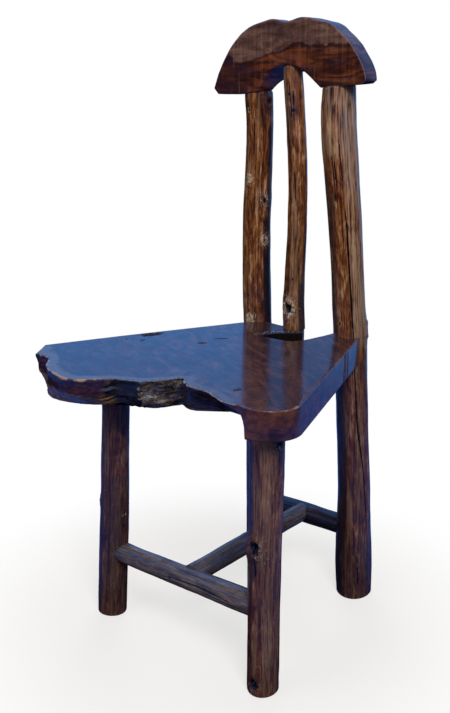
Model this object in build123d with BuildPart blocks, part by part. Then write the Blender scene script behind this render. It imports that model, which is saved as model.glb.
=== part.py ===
"""Rustic twig chair: a live-edge slab seat on peeled branches.

Two short front legs are tenoned into the slab's underside.  The rear legs run on upwards as back posts:
each is notched at seat height, the slab's rear corner is let into the notch, and a peg locks it.  A thin
centre spindle stands on a tongue of the slab between the posts, and a half-moon crest rail caps all three.
A front and a rear stretcher tie the legs near the floor, and a middle stretcher ties the two together.

Millimetres, +Z up.  The chair faces -Y, and left and right are as seen from the front.  The origin is on
the floor, under the middle of the chair's outline.
"""
import os
from math import cos, pi, radians, sin
from typing import NamedTuple

from build123d import *

# ---- seat slab: heights, and outlines as (x, y) ----
seat_height = 460.0  # floor to the slab's top face
slab_thickness = 46.0
belly_height = 20.0  # the live edges turn under at this height above the underside
belly_lean = 0.1  # share of the undercut reached there
scoop_lean = 0.8  # the same where the edge is scooped out

# each live edge: the line on the top face, and the line on the underside below it
left_edge_top = [(-66, 152), (-117, 53), (-163, -38), (-194, -103), (-216, -150)]
left_edge_under = [(-64, 151), (-108, 52), (-152, -38), (-180, -100), (-198, -148)]
front_edge_top = [
    (-189, -190), (-154, -194), (-136, -213), (-90, -232), (-58, -234), (-24, -205), (10, -187), (28, -181),
]
front_edge_under = [
    (-179, -180), (-158, -196), (-128, -215), (-82, -214), (-43, -192), (-14, -174), (8, -165), (34, -148),
]
scoop_edge_top = [(61, -131), (91, -150), (120, -152), (148, -163), (185, -161)]
scoop_edge_under = [(46, -117), (80, -119), (104, -98), (128, -94), (193, -158)]
corner_edge_top = [(222, -157), (243, -137), (240, -98)]
corner_edge_under = [(218, -148), (235, -130), (240, -98)]

# ---- front legs ----
front_left_foot = (-138.0, -105.0)
front_left_head = (-118.0, -93.0)
front_right_foot = (183.0, -101.0)
front_right_head = (183.0, -100.0)
front_left_radii = (24.0, 24.2, 23.2, 22.2, 21.8)  # foot, quarter, middle, three quarters, head
front_right_radii = (24.4, 24.2, 24.2, 24.6, 25.6)
front_left_sway = (0.0, 1.0, 1.5, 0.5, 0.0)  # a leg's bend to the right, foot to head
front_right_sway = (0.0, -1.0, -0.5, 1.0, 0.5)
leg_tenon_radius = 14.0
leg_tenon_length = 30.0

# ---- rear legs that run on as back posts ----
# plan centres at even steps: foot, two below the seat, seat, two above the seat, head
rear_left_line = [(-57, 190), (-58, 190), (-60, 190), (-63, 187), (-65.5, 184), (-63.5, 185), (-65, 184)]
rear_right_line = [(139, 208), (130, 211.4), (122, 210), (111, 209), (103, 203), (89.5, 199), (80, 199)]
rear_left_radii = (26.0, 25.2, 24.6, 24.5, 24.2, 22.8, 22.8)
rear_right_radii = (30.6, 29.2, 26.6, 27.0, 26.4, 27.4, 24.0)
post_tenon_radius = 11.0
post_tenon_length = 36.0

# ---- housings: how far ahead of the post's axis the slab's rear edge stops ----
left_housing = 8.0
right_housing = 8.0
left_corner_reach = 11.0  # slab's corner, from the left post's axis along the back
right_corner_reach = 21.0  # slab's other corner, from the right post's axis
bay_corner_reach = 24.0  # where the slab's rear edge ends on the post's other side

# ---- centre spindle, and the tongue and cleft of the slab round its foot ----
spindle_line = [(22, 176), (20, 178.5), (20.5, 181), (13.5, 183), (2, 184)]  # at even steps up
spindle_radii = (18.6, 16.4, 15.8, 15.4, 15.0)
spindle_tenon_radius = 8.0
spindle_tenon_length = 26.0
tongue_end = [(25, -13), (23, -4), (14, 9), (3, 18.5), (-13, 14), (-26, 1)]  # from the spindle's foot
cleft_far_side = [(-18, -75), (-13, -53), (-1, -36), (11, -26), (25, -13)]
cleft_near_side = [(62, -6), (57, -28), (52, -46), (42, -62), (23, -68), (-18, -75)]

# ---- crest rail: heights above the slab's top, places from the middle between the posts' heads ----
crest_base = 369.0
crest_left_lift = 5.0  # where the arch meets the left horn, above the flat that the left post meets
crest_left_horn = [(-142, 9), (-134, 0), (-92, 0), (-56, crest_left_lift)]
crest_right_lift = 11.0  # the same on the right
crest_arch_rise = 45.0  # the arch's highest point
# the sawn arch, at the rear face, and how much wider it was scooped out at the front face
crest_rear_arch = [
    (-56, crest_left_lift), (-48, 12), (-38, 19), (-25, 25), (-10, 30),
    (5, 34), (27, 32), (53, crest_right_lift),
]
crest_front_arch = [
    (-56, crest_left_lift), (-49, 20), (-39, 33), (-25, 42), (-10, crest_arch_rise),
    (5, 43), (27, 32), (53, crest_right_lift),
]
spindle_meets_arch = 33.0  # the lowest point of the arch over the spindle's tenon
crest_right_horn = [(53, crest_right_lift), (98, 15), (122, 17), (128, 22)]
crest_crown = [
    (128, 22), (122, 43), (110, 62), (98, 77), (82, 91), (65, 103), (49, 107), (27, 111.7), (10, 111),
    (-8, 107), (-22, 109), (-35, 111), (-54, 107), (-76, 100), (-98, 84), (-113, 67), (-129, 41), (-142, 9),
]
crest_front = 24.0  # front face, ahead of the posts' heads
crest_rear = 16.0

# ---- stretchers ----
front_stretcher_heights = (115.0, 134.0)  # at the left leg and at the right leg
front_stretcher_radii = (17.3, 16.6, 17.0, 18.0, 19.2)
rear_stretcher_heights = (121.0, 117.0)
rear_stretcher_radii = (18.0, 17.6, 18.2, 17.4, 17.8)
middle_stretcher_shares = (0.535, 0.49)  # along the front one and the rear one, from the left
middle_stretcher_lift = 3.0  # its axis above theirs
middle_stretcher_radii = (16.8, 16.2, 16.5, 15.8, 16.2)
stretcher_tenon_radius = 10.0
stretcher_tenon_length = 20.0
middle_tenon_radius = 8.0
middle_tenon_length = 14.0

# ---- pegs that lock the slab's corners in the posts ----
peg_radius = 4.5
peg_in_slab = 34.0
peg_proud = 1.5
left_peg_reach = 17.0  # from the left post's axis, along the back
right_peg_reach = 0.0

# ---- small forms ----
two_lobes = 0.035  # a branch's section swells this much either way, as a share of its radius
three_lobes = 0.02
section_points = 8
# left post, right post, spindle: each head is drawn this much past the crest's underside, then coped to it
cope_overruns = (1.0, 8.0, 8.0)
crest_round = 2.0  # rounded edges of the crest's crown and arch
foot_chamfer = 2.5  # eased edge of each sawn foot
foot_hole_radius = 5.0
foot_hole_height = 19.0
foot_hole_depth = 16.0
burl_hollows = [((36, -172, 438), 17.0), ((57, -150, 443), 13.0)]  # centre and radius
# trimmed side shoots: (height, bearing in degrees from +X, radius of the healed stump)
left_post_knots = [(239.0, -92.0, 14.0), (204.0, -24.0, 16.0), (139.0, -19.0, 14.0), (30.0, -85.0, 16.0)]
right_post_knots = [(8.0, 32.0, 18.0)]  # these three lists count from the slab's top
spindle_knots = [(48.0, -80.0, 13.0)]
front_left_knots = [(150.0, 22.0, 12.0), (248.0, -67.0, 14.0)]  # from the floor
front_right_knots = [(237.0, -108.0, 20.0)]
front_right_head_knots = [(-22.0, -2.0, 13.0)]  # below the slab
knot_depth = 0.8  # how deep the middle of a stump's dome lies, as a share of its radius

# ---- fits ----
glue_gap = 0.1  # round tenon to bore, all round
bore_relief = 2.0  # a bore is this much deeper than its tenon
cope_gap = 0.2  # saddle of a branch to the branch or the arch it meets

seat_underside = seat_height - slab_thickness
crest_underside = seat_height + crest_base


class Joint(NamedTuple):
    """A round tenon: its tip inside the host, and the direction out of the host to its own branch."""

    tip: tuple
    out: tuple
    radius: float
    length: float


def mix(a, b, share):
    """The point, or the number, a share of the way from a to b."""
    if isinstance(a, tuple):
        return tuple(mix(p, q, share) for p, q in zip(a, b))
    return a + (b - a) * share


def moved(point, direction, amount):
    """A point moved along a direction."""
    return tuple(p + d * amount for p, d in zip(point, direction))


def unit(start, end):
    """The direction from start to end."""
    return tuple((Vector(*end) - Vector(*start)).normalized())


def branch(stations, x_dir, z_dir, turn, mode=Mode.ADD):
    """A crooked branch: a loft through sections that are a circle with two and three shallow lobes."""
    sections = []
    for centre, radius in stations:
        points = []
        for angle in (2 * pi * k / section_points for k in range(section_points)):
            lobed = radius * (1 + two_lobes * cos(2 * angle + turn) + three_lobes * cos(3 * angle - turn))
            points.append((lobed * cos(angle), lobed * sin(angle)))
        with BuildSketch(Plane(origin=centre, x_dir=x_dir, z_dir=z_dir), mode=Mode.PRIVATE) as section:
            with BuildLine():
                Spline(*points, periodic=True)
            make_face()
        sections.append(section.sketch.faces()[0])
    loft(sections, mode=mode)


def upright(stations, turn, mode=Mode.ADD):
    """A standing branch: its sections are level, because foot and head are sawn level."""
    branch(stations, (1, 0, 0), (0, 0, 1), turn, mode)


def rung(stations, turn, mode=Mode.ADD):
    """A branch that lies between two others, with its sections square to its length."""
    along = unit(stations[0][0], stations[-1][0])
    branch(stations, tuple(Vector(0, 0, 1).cross(Vector(*along))), along, turn, mode)


def swollen(stations, gap):
    """The same branch, thicker by a gap all round."""
    return [(centre, radius + gap) for centre, radius in stations]


def station_at(stations, height):
    """Centre and radius of an upright at a height."""
    for (low, low_radius), (high, high_radius) in zip(stations, stations[1:]):
        if low[2] <= height <= high[2]:
            share = (height - low[2]) / (high[2] - low[2])
            return mix(low, high, share), mix(low_radius, high_radius, share)
    raise ValueError(f"the upright does not reach {height} mm")


def tenon(joint):
    """Adds a tenon to its branch, running a little into it."""
    with BuildSketch(Plane(origin=joint.tip, z_dir=joint.out)) as end:
        Circle(joint.radius)
    extrude(end.sketch, amount=joint.length + joint.radius)


def mortise(joint):
    """Bores the host for a tenon, from the mouth down to the relief below its tip."""
    with Locations(Plane(origin=moved(joint.tip, joint.out, joint.length), z_dir=joint.out)):
        Hole(joint.radius + glue_gap, depth=joint.length + bore_relief)


# ---- stations up each standing branch: (centre, radius) ----
quarters = (0, 0.25, 0.5, 0.75, 1)


def level(point, height):
    """A plan point at a height."""
    return (*point, height)


def leg_stations(foot, head, sways, radii):
    """A front leg: five stations, with a slight bend."""
    for share, sway, radius in zip(quarters, sways, radii):
        x, y, z = mix(level(foot, 0), level(head, seat_underside), share)
        yield (x + sway, y, z), radius


def post_stations(line, radii, past_crest):
    """A rear post: three even steps up to the middle of its housing, and three on into the crest."""
    housing_middle = mix(seat_underside, seat_height, 0.5)
    heights = [housing_middle * step / 3 for step in range(4)]
    heights += [mix(housing_middle, crest_underside + past_crest, step / 3) for step in range(1, 4)]
    return [(level(point, height), radius) for point, height, radius in zip(line, heights, radii)]


front_left = list(leg_stations(front_left_foot, front_left_head, front_left_sway, front_left_radii))
front_right = list(leg_stations(front_right_foot, front_right_head, front_right_sway, front_right_radii))
rear_left = post_stations(rear_left_line, rear_left_radii, crest_left_lift + cope_overruns[0])
rear_right = post_stations(rear_right_line, rear_right_radii, crest_right_lift + cope_overruns[1])
rear_left_at_seat, rear_right_at_seat = rear_left_line[3], rear_right_line[3]
rear_left_head, rear_right_head = rear_left_line[-1], rear_right_line[-1]

# ---- the line of the back, at the seat and at the crest ----
back_along = unit(level(rear_left_at_seat, 0), level(rear_right_at_seat, 0))
back_ahead = (back_along[1], -back_along[0], 0)
crest_along = unit(level(rear_left_head, 0), level(rear_right_head, 0))
crest_ahead = (crest_along[1], -crest_along[0], 0)
crest_middle = level(mix(rear_left_head, rear_right_head, 0.5), crest_underside)
crest_plane = Plane(origin=crest_middle, x_dir=crest_along, z_dir=crest_ahead)


def by_post(post, reach, ahead):
    """A plan point given from a post's axis at the seat: along the back, and ahead of it."""
    return moved(moved(post, back_along[:2], reach), back_ahead[:2], ahead)


def by_spindle(points):
    """Plan points given from the spindle's foot."""
    return [moved(spindle_line[0], point, 1) for point in points]


def slab_outline(height, lean, scoop_share):
    """The slab's outline, drawn at a height: the shares are 0 on the top face and 1 on the underside."""
    left, front, scoop, corner = (
        [mix(top, under, share) for top, under in zip(tops, unders)]
        for tops, unders, share in (
            (left_edge_top, left_edge_under, lean), (front_edge_top, front_edge_under, lean),
            (scoop_edge_top, scoop_edge_under, scoop_share), (corner_edge_top, corner_edge_under, lean),
        )
    )
    rear_left_corner = by_post(rear_left_at_seat, left_corner_reach, left_housing)
    rear_right_corner = by_post(rear_right_at_seat, right_corner_reach, right_housing)
    bay_corner = by_post(rear_right_at_seat, -bay_corner_reach, right_housing)
    with BuildSketch(Plane.XY.offset(height)) as outline:
        with BuildLine():
            Line(rear_left_corner, left[0])
            Spline(*left)
            Line(left[-1], front[0])
            Spline(*front)
            Line(front[-1], scoop[0])
            Spline(*scoop)
            Spline(scoop[-1], *corner)
            Line(corner[-1], rear_right_corner)
            Line(rear_right_corner, bay_corner)
            Line(bay_corner, by_spindle(cleft_near_side)[0])
            Spline(*by_spindle(cleft_near_side))
            Spline(*by_spindle(cleft_far_side))
            Spline(*by_spindle(tongue_end))
            Line(by_spindle(tongue_end)[-1], rear_left_corner)
        make_face()
    return outline.sketch


def crest_outline(ahead, arch):
    """The half-moon over its arch, drawn a distance ahead of the posts' heads."""
    with BuildSketch(crest_plane.offset(ahead), mode=Mode.PRIVATE) as outline:
        with BuildLine():
            Polyline(*crest_left_horn)
            Spline(*arch)
            Polyline(*crest_right_horn)
            Spline(*crest_crown)
        make_face()
    return outline.sketch


def crest_block(mode=Mode.ADD):
    """The crest rail before its mortises: a half-moon over an arch that widens towards the front."""
    rear_face = crest_outline(-crest_rear, crest_rear_arch)
    front_face = crest_outline(crest_front, crest_front_arch)
    loft([rear_face, front_face], ruled=True, mode=mode)


def saw_foot():
    """Eases the edge of a foot where it was sawn off."""
    chamfer(edges().group_by(Axis.Z)[0], foot_chamfer)


def housing():
    """Cuts the slab's corner out of a post."""
    extrude(slab_outline(seat_underside, 0, 0), amount=slab_thickness, dir=(0, 0, 1), mode=Mode.SUBTRACT)


def cope_under_crest():
    """Cuts a head to the crest's underside, also where the branch stands out before and behind it."""
    crest_block(mode=Mode.SUBTRACT)
    extrude(crest_outline(-crest_rear, crest_rear_arch), amount=-crest_rear, mode=Mode.SUBTRACT)
    extrude(crest_outline(crest_front, crest_front_arch), amount=crest_rear, mode=Mode.SUBTRACT)


# ---- rungs: stations from one upright's axis to the other's ----
def rung_stations(first, second, heights, radii):
    """Five stations between two uprights."""
    start, _ = station_at(first, heights[0])
    end, _ = station_at(second, heights[1])
    return [(mix(start, end, share), radius) for share, radius in zip(quarters, radii)]


front_rung = rung_stations(front_left, front_right, front_stretcher_heights, front_stretcher_radii)
rear_rung = rung_stations(rear_left, rear_right, rear_stretcher_heights, rear_stretcher_radii)
middle_ends = [
    moved(mix(rung_ends[0][0], rung_ends[-1][0], share), (0, 0, 1), middle_stretcher_lift)
    for rung_ends, share in zip((front_rung, rear_rung), middle_stretcher_shares)
]
middle_rung = [(mix(*middle_ends, share), radius) for share, radius in zip(quarters, middle_stretcher_radii)]

# ---- centre spindle: from the slab's top to just past the arch ----
spindle_rise = crest_underside + crest_arch_rise + cope_overruns[2] - seat_height
spindle_stations = [
    (level(point, seat_height + spindle_rise * step / 4), radius)
    for step, (point, radius) in enumerate(zip(spindle_line, spindle_radii))
]


# ---- joints ----
def head_joint(stations, height, radius, length):
    """A tenon that stands on an upright at a height and enters what lies over it."""
    (x, y, _), _ = station_at(stations, height)
    return Joint((x, y, height + length), (0, 0, -1), radius, length)


def rung_joints(stations, hosts, radius, length):
    """The two tenons of a rung, each measured from the face of the branch that it enters."""
    start, end = stations[0][0], stations[-1][0]
    along = unit(start, end)
    back = moved((0, 0, 0), along, -1)
    return [
        Joint(moved(start, along, hosts[0] - length), along, radius, length),
        Joint(moved(end, back, hosts[1] - length), back, radius, length),
    ]


front_left_joint = head_joint(front_left, seat_underside, leg_tenon_radius, leg_tenon_length)
front_right_joint = head_joint(front_right, seat_underside, leg_tenon_radius, leg_tenon_length)
spindle_foot_joint = Joint(
    level(spindle_line[0], seat_height - spindle_tenon_length),
    (0, 0, 1), spindle_tenon_radius, spindle_tenon_length,
)
spindle_head_joint = head_joint(
    spindle_stations, crest_underside + spindle_meets_arch, spindle_tenon_radius, spindle_tenon_length
)
left_post_joint = head_joint(rear_left, crest_underside, post_tenon_radius, post_tenon_length)
right_post_joint = head_joint(
    rear_right, crest_underside + crest_right_lift, post_tenon_radius, post_tenon_length
)
front_rung_joints = rung_joints(
    front_rung,
    [station_at(leg, height)[1] for leg, height in zip((front_left, front_right), front_stretcher_heights)],
    stretcher_tenon_radius, stretcher_tenon_length,
)
rear_rung_joints = rung_joints(
    rear_rung,
    [station_at(post, height)[1] for post, height in zip((rear_left, rear_right), rear_stretcher_heights)],
    stretcher_tenon_radius, stretcher_tenon_length,
)
middle_rung_joints = rung_joints(
    middle_rung,
    [front_stretcher_radii[2], rear_stretcher_radii[2]],
    middle_tenon_radius, middle_tenon_length,
)


def peg_joint(post, seat_radius, reach, housing_ahead):
    """A peg: its tip in the slab, pointing out through the back of the post."""
    tip = by_post(post, reach, housing_ahead + peg_in_slab)
    to_back = (seat_radius**2 - reach**2) ** 0.5
    out = (-back_ahead[0], -back_ahead[1], 0)
    middle_height = mix(seat_underside, seat_height, 0.5)
    return Joint(level(tip, middle_height), out, peg_radius, peg_in_slab + housing_ahead + to_back)


peg_joints = [
    peg_joint(rear_left_at_seat, rear_left_radii[3], left_peg_reach, left_housing),
    peg_joint(rear_right_at_seat, rear_right_radii[3], right_peg_reach, right_housing),
]


def knots(stations, stumps, datum=0.0):
    """Adds the low healed stumps of trimmed side shoots, at their heights above a datum."""
    for height, bearing, radius in stumps:
        (x, y, _), upright_radius = station_at(stations, datum + height)
        out = (cos(radians(bearing)), sin(radians(bearing)), 0)
        with Locations(moved((x, y, datum + height), out, upright_radius - knot_depth * radius)):
            Sphere(radius)


# ---- the pieces ----
with BuildPart() as seat_slab:
    underside = slab_outline(seat_underside, 1, 1)
    belly = slab_outline(seat_underside + belly_height, belly_lean, scoop_lean)
    top = slab_outline(seat_height, 0, 0)
    loft([underside, belly, top], ruled=True)
    for centre, radius in burl_hollows:
        with Locations(centre):
            Sphere(radius, mode=Mode.SUBTRACT)
    for joint in (front_left_joint, front_right_joint, spindle_foot_joint, *peg_joints):
        mortise(joint)

with BuildPart() as front_left_leg:
    upright(front_left, turn=0.4)
    saw_foot()
    knots(front_left, front_left_knots)
    tenon(front_left_joint)
    mortise(front_rung_joints[0])

with BuildPart() as front_right_leg:
    upright(front_right, turn=2.1)
    saw_foot()
    knots(front_right, front_right_knots)
    knots(front_right, front_right_head_knots, seat_underside)
    tenon(front_right_joint)
    mortise(front_rung_joints[1])
    foot_hole_mouth = (front_right_foot[0], front_right_foot[1] - front_right_radii[0], foot_hole_height)
    with Locations(Plane(origin=foot_hole_mouth, z_dir=(0, -1, 0))):
        Hole(foot_hole_radius, depth=foot_hole_depth)

with BuildPart() as rear_left_post:
    upright(rear_left, turn=1.2)
    saw_foot()
    knots(rear_left, left_post_knots, seat_height)
    housing()
    cope_under_crest()
    tenon(left_post_joint)
    mortise(rear_rung_joints[0])
    mortise(peg_joints[0])

with BuildPart() as rear_right_post:
    upright(rear_right, turn=2.8)
    saw_foot()
    knots(rear_right, right_post_knots, seat_height)
    housing()
    cope_under_crest()
    tenon(right_post_joint)
    mortise(rear_rung_joints[1])
    mortise(peg_joints[1])

with BuildPart() as centre_spindle:
    upright(spindle_stations, turn=0.9)
    knots(spindle_stations, spindle_knots, seat_height)
    cope_under_crest()
    tenon(spindle_foot_joint)
    tenon(spindle_head_joint)

with BuildPart() as crest_rail:
    crest_block()
    fillet(edges().filter_by(GeomType.BSPLINE), crest_round)
    for joint in (left_post_joint, right_post_joint, spindle_head_joint):
        mortise(joint)

with BuildPart() as front_stretcher:
    rung(front_rung, turn=0.3)
    upright(swollen(front_left, cope_gap), turn=0.4, mode=Mode.SUBTRACT)
    upright(swollen(front_right, cope_gap), turn=2.1, mode=Mode.SUBTRACT)
    for joint in front_rung_joints:
        tenon(joint)
    mortise(middle_rung_joints[0])

with BuildPart() as rear_stretcher:
    rung(rear_rung, turn=1.7)
    upright(swollen(rear_left, cope_gap), turn=1.2, mode=Mode.SUBTRACT)
    upright(swollen(rear_right, cope_gap), turn=2.8, mode=Mode.SUBTRACT)
    for joint in rear_rung_joints:
        tenon(joint)
    mortise(middle_rung_joints[1])

with BuildPart() as middle_stretcher:
    rung(middle_rung, turn=2.5)
    rung(swollen(front_rung, cope_gap), turn=0.3, mode=Mode.SUBTRACT)
    rung(swollen(rear_rung, cope_gap), turn=1.7, mode=Mode.SUBTRACT)
    for joint in middle_rung_joints:
        tenon(joint)

with BuildPart() as housing_pegs:
    for joint in peg_joints:
        with BuildSketch(Plane(origin=joint.tip, z_dir=joint.out)):
            Circle(joint.radius)
        extrude(amount=joint.length + peg_proud)

# ---- the origin goes under the middle of the chair's outline ----
pieces = {
    "seat_slab": seat_slab,
    "front_left_leg": front_left_leg,
    "front_right_leg": front_right_leg,
    "rear_left_post": rear_left_post,
    "rear_right_post": rear_right_post,
    "centre_spindle": centre_spindle,
    "crest_rail": crest_rail,
    "front_stretcher": front_stretcher,
    "rear_stretcher": rear_stretcher,
    "middle_stretcher": middle_stretcher,
    "housing_pegs": housing_pegs,
}
whole = Compound([piece.part for piece in pieces.values()]).bounding_box()
to_origin = Location((-whole.center().X, -whole.center().Y, -whole.min.Z))

os.makedirs("parts", exist_ok=True)
for name, piece in pieces.items():
    placed = piece.part.moved(to_origin)
    placed.label = name
    export_step(placed, f"parts/{name}.step")
print("outline", whole.size, "moved by", to_origin.position)
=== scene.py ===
import math
import bmesh
import bpy
import numpy as np
from mathutils import Matrix, Vector, geometry, noise
from mathutils.bvhtree import BVHTree


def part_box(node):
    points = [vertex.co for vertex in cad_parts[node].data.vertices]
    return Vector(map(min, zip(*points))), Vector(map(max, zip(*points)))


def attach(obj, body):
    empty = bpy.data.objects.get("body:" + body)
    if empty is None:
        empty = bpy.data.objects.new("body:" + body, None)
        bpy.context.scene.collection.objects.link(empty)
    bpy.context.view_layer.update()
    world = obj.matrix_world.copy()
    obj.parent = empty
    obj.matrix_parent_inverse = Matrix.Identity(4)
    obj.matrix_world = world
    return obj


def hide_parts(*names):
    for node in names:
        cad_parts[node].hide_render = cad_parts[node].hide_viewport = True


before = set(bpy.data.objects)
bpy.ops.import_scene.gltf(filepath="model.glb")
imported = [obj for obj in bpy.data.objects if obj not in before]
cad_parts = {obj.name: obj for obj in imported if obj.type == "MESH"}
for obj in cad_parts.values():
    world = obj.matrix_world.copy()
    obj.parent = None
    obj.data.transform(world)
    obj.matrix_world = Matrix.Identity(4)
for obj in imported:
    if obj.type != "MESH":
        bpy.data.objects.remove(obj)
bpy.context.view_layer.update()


# ---- The seat slab ----
# A plank sawn through a dark, figured trunk.  The front and left edges keep the tree's own surface, with a
# burl and a scooped hollow in the front one; the right side and the back are sawn.  It lies on the front
# legs' tenons, its rear corners are let into the back posts, and it is varnished to a gloss.
slab_low, slab_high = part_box("seat_slab")
slab_top, slab_under = slab_high.z, slab_low.z
slab_thickness = slab_top - slab_under
slab_column_step = 0.0017  # between the wall's columns of points
slab_rows = 20  # between the two rounded rims
slab_rim = 0.0016  # radius of the worn rim
rim_steps = 3  # rows of points round a worn rim
slab_grid = 0.0045  # between points on the flat faces
mark_grid = 0.0011  # and round the voids and checks in the top
chip_spot, chip_grid, chip_every = 0.009, 0.0016, 9  # finer spots on the chipped rims, one per so many columns
slab_cut = 0.0005  # under the top, where its outline is taken
slab_skin = 0.0006  # how near to a flat face the wall is still looked for
slab_overhang = 0.009  # how far outside the top's outline the wall is looked for
slab_reach = 0.1  # and how deep under it
slab_easing = 9  # rows over which the wall's creases are worn round

# places along the slab's outline, counter-clockwise from above, in plan
left_tip = (-0.2317, -0.1551)
burl_start = (-0.034, -0.206)
cavern_end = (0.006, -0.188)
burl_end = (0.047, -0.138)
scoop_end = (0.158, -0.170)
corner_end = (0.2243, -0.103)
rear_right_corner = (0.111, 0.199)
cleft_tip = (-0.0116, 0.0989)
cleft_end = (0.0303, 0.164)
rear_left_corner = (-0.082, 0.150)

# small voids and checks in the top: place, length, width, depth, turn in degrees
top_marks = [
    ((-0.1472, -0.0058), 0.032, 0.0150, 0.0060, 65),
    ((-0.1585, -0.0506), 0.004, 0.003, 0.002, 20),
    ((-0.134, -0.0387), 0.008, 0.0022, 0.002, 75),
    ((-0.0515, 0.0103), 0.012, 0.0042, 0.005, 48),
    ((-0.0445, 0.0484), 0.024, 0.0016, 0.002, 48),
    ((0.1307, -0.1210), 0.013, 0.0042, 0.005, 74),
    ((0.0304, 0.0649), 0.007, 0.002, 0.002, 30),
]


def feed(tree, value, slot):
    """Puts a plain value, a reading, a colour or another node's output into a socket."""
    value = getattr(value, "socket", value)
    if hasattr(value, "links"):
        tree.links.new(value, slot)
    else:
        slot.default_value = value


def add_node(tree, kind, links=(), **settings):
    """A node with its settings, and its sockets fed by name or number."""
    made = tree.nodes.new(kind)
    for setting, value in settings.items():
        setattr(made, setting, value)
    for slot, value in dict(links).items():
        feed(tree, value, made.inputs[slot])
    return made


class Reading:
    """A number read over a surface, inside a node tree.  Sums written with it become Math nodes."""

    def __init__(self, tree, socket):
        self.tree, self.socket = tree, socket

    def math(self, operation, *others):
        made = add_node(self.tree, "ShaderNodeMath", enumerate((self, *others)), operation=operation)
        return Reading(self.tree, made.outputs[0])

    def __add__(self, other):
        return self.math("ADD", other)

    def __sub__(self, other):
        return self.math("SUBTRACT", other)

    def __mul__(self, other):
        return self.math("MULTIPLY", other)

    def __truediv__(self, other):
        return self.math("DIVIDE", other)

    def between(self, low, high):
        """0 at low, 1 at high, and a smooth step from one to the other."""
        links = {"Value": self, "From Min": low, "From Max": high}
        made = add_node(self.tree, "ShaderNodeMapRange", links, interpolation_type="SMOOTHSTEP")
        return Reading(self.tree, made.outputs["Result"])

    def bell(self, width):
        """1 where the reading is 0, falling away to nothing at about twice the width."""
        scaled = self / width
        return (scaled * scaled * -1.0).math("EXPONENT")

    def shades(self, *stops):
        """Colours along the reading: place, red, green, blue."""
        made = add_node(self.tree, "ShaderNodeValToRGB", {"Fac": self})
        band = made.color_ramp.elements
        while len(band) < len(stops):
            band.new(0.5)
        for stop, (place, *colour) in zip(band, stops):
            stop.position = place
            stop.color = (*colour, 1.0)
        return Colour(self.tree, made.outputs["Color"])


class Colour:
    """A colour over a surface, inside a node tree."""

    def __init__(self, tree, colour):
        self.tree = tree
        self.socket = (*colour, 1.0) if isinstance(colour, tuple) else colour

    def stained(self, share, over):
        """Another colour laid over this one where the share is high."""
        over = Colour(self.tree, over) if isinstance(over, tuple) else over
        made = add_node(self.tree, "ShaderNodeMix", {"Factor": share, 6: self, 7: over}, data_type="RGBA")
        return Colour(self.tree, made.outputs[2])


class Surface:
    """What a node tree knows of a surface: coordinates, stored readings, and noise on the coordinates."""

    def __init__(self, tree, place=None):
        self.tree = tree
        self.place = place or tree.nodes.new("ShaderNodeTexCoord").outputs["Object"]

    def read(self, name, output="Fac"):
        """A reading stored on the mesh."""
        made = add_node(self.tree, "ShaderNodeAttribute", attribute_name=name)
        return Reading(self.tree, made.outputs[output])

    def turned(self, angle):
        """The same surface, its coordinates turned about Z."""
        links = {"Vector": self.place, "Angle": angle}
        made = add_node(self.tree, "ShaderNodeVectorRotate", links, rotation_type="Z_AXIS")
        return Surface(self.tree, made.outputs["Vector"])

    def noise(self, scale, detail=2.0, roughness=0.5, distortion=0.0):
        """Smooth noise between about 0.2 and 0.8, fine along an axis with a high scale."""
        fine = add_node(self.tree, "ShaderNodeVectorMath", {0: self.place, 1: scale}, operation="MULTIPLY")
        made = add_node(self.tree, "ShaderNodeTexNoise", {
            "Vector": fine.outputs["Vector"], "Scale": 1.0, "Detail": detail,
            "Roughness": roughness, "Distortion": distortion,
        })
        return Reading(self.tree, made.outputs[0])


def varnished(name, looks_of, relief_depth, coat_roughness=0.13, coat_ior=1.5):
    """A wood under gloss varnish: its colour, the relief of its grain, and a clear coat over both."""
    material = bpy.data.materials.new(name)
    material.use_nodes = True
    tree = material.node_tree
    colour, relief = looks_of(Surface(tree))
    bump = add_node(tree, "ShaderNodeBump", {"Strength": 1.0, "Distance": relief_depth, "Height": relief})
    for slot, value in {
        "Base Color": colour,
        "Normal": bump.outputs["Normal"],
        "Roughness": Surface(tree).noise((60, 60, 60)).between(0.3, 0.7) * 0.2 + 0.4,
        "Specular IOR Level": 0.12,
        "Coat Weight": 1.0,
        "Coat Roughness": coat_roughness,
        "Coat IOR": coat_ior,
    }.items():
        feed(tree, value, tree.nodes["Principled BSDF"].inputs[slot])
    return material


def lumps(u, v, wide, high, seed):
    """Smooth noise on a wall, in lumps so wide and so high."""
    return noise.noise(Vector((u / wide, v / high, seed)))


def cut_line(node, point, normal):
    """The longest closed line along which a plane cuts a CAD node, as an array of points."""
    cut = bmesh.new()
    cut.from_mesh(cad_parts[node].data)
    bmesh.ops.remove_doubles(cut, verts=cut.verts, dist=1e-6)
    everything = cut.verts[:] + cut.edges[:] + cut.faces[:]
    bmesh.ops.bisect_plane(
        cut, geom=everything, dist=1e-7, plane_co=point, plane_no=normal, clear_inner=True, clear_outer=True
    )
    lines = []
    left = set(cut.verts)
    while left:
        here = left.pop()
        line = [here]
        while here:
            here = next((e.other_vert(here) for e in here.link_edges if e.other_vert(here) in left), None)
            if here:
                left.remove(here)
                line.append(here)
        lines.append(np.array([v.co for v in line]))
    cut.free()
    return max(lines, key=lambda points: np.linalg.norm(np.diff(points, axis=0), axis=1).sum())


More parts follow.
